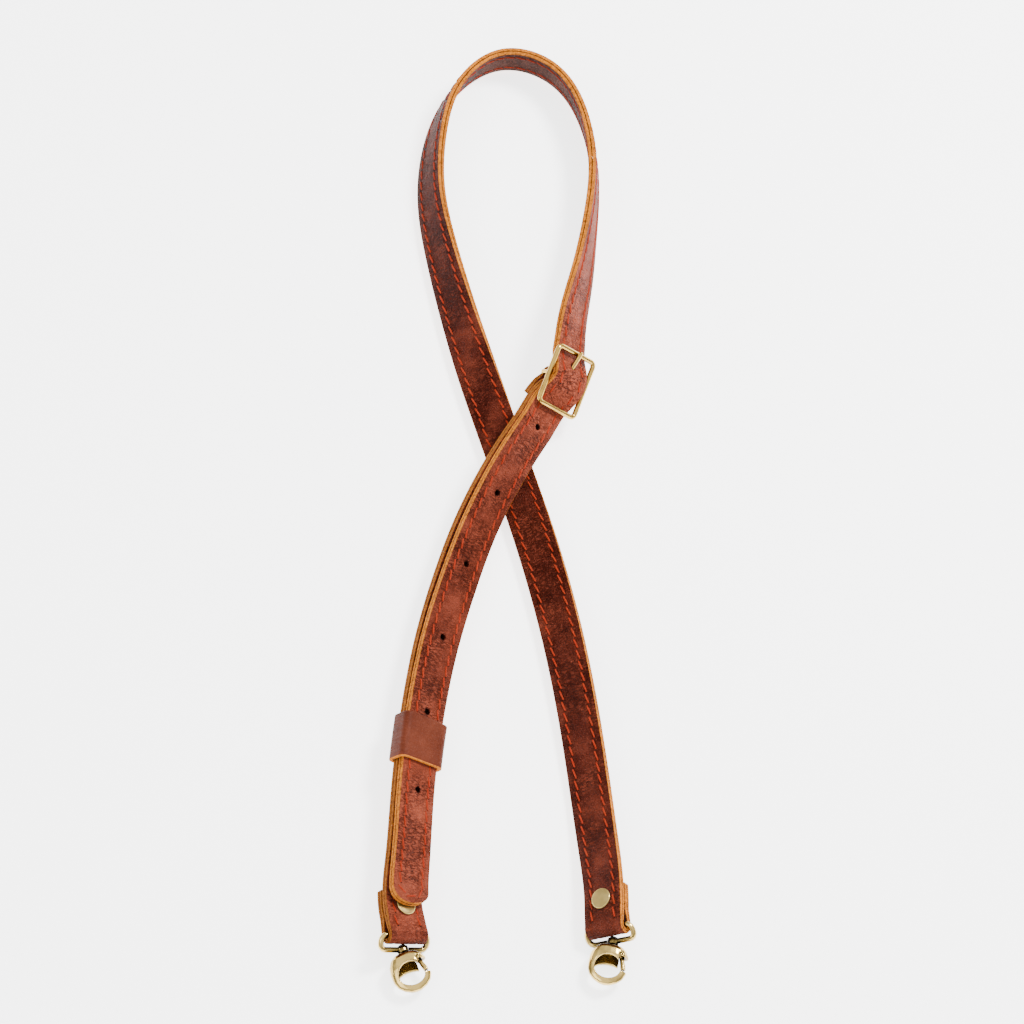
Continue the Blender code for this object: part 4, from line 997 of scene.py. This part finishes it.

# The clasps
# A zinc-brass casting: a hooded claw on a swivel post in the flattened wire ring, with a sprung
# gate.  Antique finish, rubbed bright on its lips and foot, dark in its hollows and where the strap
# and floor lie near it: patina in part, painted shade in part.
ANTIQUE = brass("antique_brass", (0.68, 0.47, 0.14), (0.014, 0.009, 0.004), tarnish=0.40,
                rough=0.11)
CAST_WELD = 1e-6
CAST_SMOOTHING = 0.6
CAST_PARTS = (("ring", 0.00024, 10), ("hook", 0.00021, 12), ("gate", 0.00018, 6))
for side in ("right", "left"):
    for part, voxel, rounds in CAST_PARTS:
        node = f"{part}_{side}"
        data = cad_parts[node].data.copy()
        data.name = f"{part}_cast_{side}"
        data.materials.clear()
        edit = bmesh.new()
        edit.from_mesh(data)
        bmesh.ops.remove_doubles(edit, verts=edit.verts, dist=CAST_WELD)
        edit.to_mesh(data)
        edit.free()
        cast = bpy.data.objects.new(f"{part}_cast_{side}", data)
        bpy.context.scene.collection.objects.link(cast)
        remesh = cast.modifiers.new("skin", "REMESH")
        remesh.mode = "VOXEL"
        remesh.voxel_size = voxel
        soften = cast.modifiers.new("soften", "SMOOTH")
        soften.factor = CAST_SMOOTHING
        soften.iterations = rounds
        bpy.context.view_layer.update()
        settled = bpy.data.meshes.new_from_object(
            cast.evaluated_get(bpy.context.evaluated_depsgraph_get()))
        cast.modifiers.clear()
        cast.data = settled
        settled.name = f"{part}_cast_{side}"
        settled.materials.clear()
        settled.materials.append(ANTIQUE)
        settled.shade_smooth()
        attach(cast, node)
        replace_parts(cast, node)

# The surface, the light and the camera
# A plain white floor, a large soft light from above and behind to the right, and a softer fill
# from the left.  The camera looks down at the strap from a long way off.
FLOOR_HALF = 6
FLOOR = bpy.data.materials.new("white_floor")
FLOOR.use_nodes = True
tree = FLOOR.node_tree
shader = tree.nodes["Principled BSDF"]
paper = noise(tree, put(tree, "ShaderNodeTexCoord").outputs["Object"], 900.0, 3.0)
tree.links.new(blend_colour(tree, ramp(tree, paper, 0.3, 0.7), (0.95, 0.95, 0.95, 1),
                            (0.98, 0.98, 0.98, 1)), shader.inputs["Base Color"])
shader.inputs["Roughness"].default_value = 0.8
shader.inputs["Specular IOR Level"].default_value = 0.1
shader.inputs["Emission Color"].default_value = (1.0, 1.0, 1.0, 1.0)
shader.inputs["Emission Strength"].default_value = 2.9
floor_mesh = bpy.data.meshes.new("floor")
floor_mesh.from_pydata([(x * FLOOR_HALF, y * FLOOR_HALF, 0)
                        for x, y in ((-1, -1), (1, -1), (1, 1), (-1, 1))], [], [(0, 1, 2, 3)])
floor_mesh.materials.append(FLOOR)
floor = bpy.data.objects.new("floor", floor_mesh)
bpy.context.scene.collection.objects.link(floor)
world = bpy.data.worlds.new("studio")
world.use_nodes = True
tree = world.node_tree
upward = put(tree, "ShaderNodeSeparateXYZ", None, Vector=put(
    tree, "ShaderNodeTexCoord").outputs["Generated"]).outputs["Z"]
sky = blend_colour(tree, ramp(tree, upward, 0.05, 0.75), (0.22, 0.22, 0.22, 1), (1.7, 1.7, 1.7, 1))
tree.links.new(sky, tree.nodes["Background"].inputs["Color"])
tree.nodes["Background"].inputs["Strength"].default_value = 1.0
bpy.context.scene.world = world
LIGHTS = (
    ("key", (0.75, 0.45, 1.2), 0.40, 42.0),
    ("fill", (-0.9, -0.7, 1.1), 0.9, 7.0),
)
for name, spot, size, power in LIGHTS:
    lamp = bpy.data.lights.new(name, "AREA")
    lamp.shape = "DISK"
    lamp.size = size
    lamp.energy = power
    light = bpy.data.objects.new(name, lamp)
    light.location = spot
    light.rotation_euler = (-Vector(spot)).to_track_quat("-Z", "Y").to_euler()
    bpy.context.scene.collection.objects.link(light)
ELEVATION = math.radians(65)
DISTANCE = 2.3
FOCAL_LENGTH = 175.78
SENSOR = 36.0
AIM = Vector(-SET_DOWN)
lens = bpy.data.cameras.new("camera")
lens.lens = FOCAL_LENGTH
lens.sensor_width = SENSOR
lens.clip_start = 0.05
camera = bpy.data.objects.new("camera", lens)
camera.location = AIM + DISTANCE * Vector((0, -math.cos(ELEVATION), math.sin(ELEVATION)))
camera.rotation_euler = (AIM - camera.location).to_track_quat("-Z", "Y").to_euler()
bpy.context.scene.collection.objects.link(camera)
bpy.context.scene.camera = camera

bpy.context.view_layer.update()
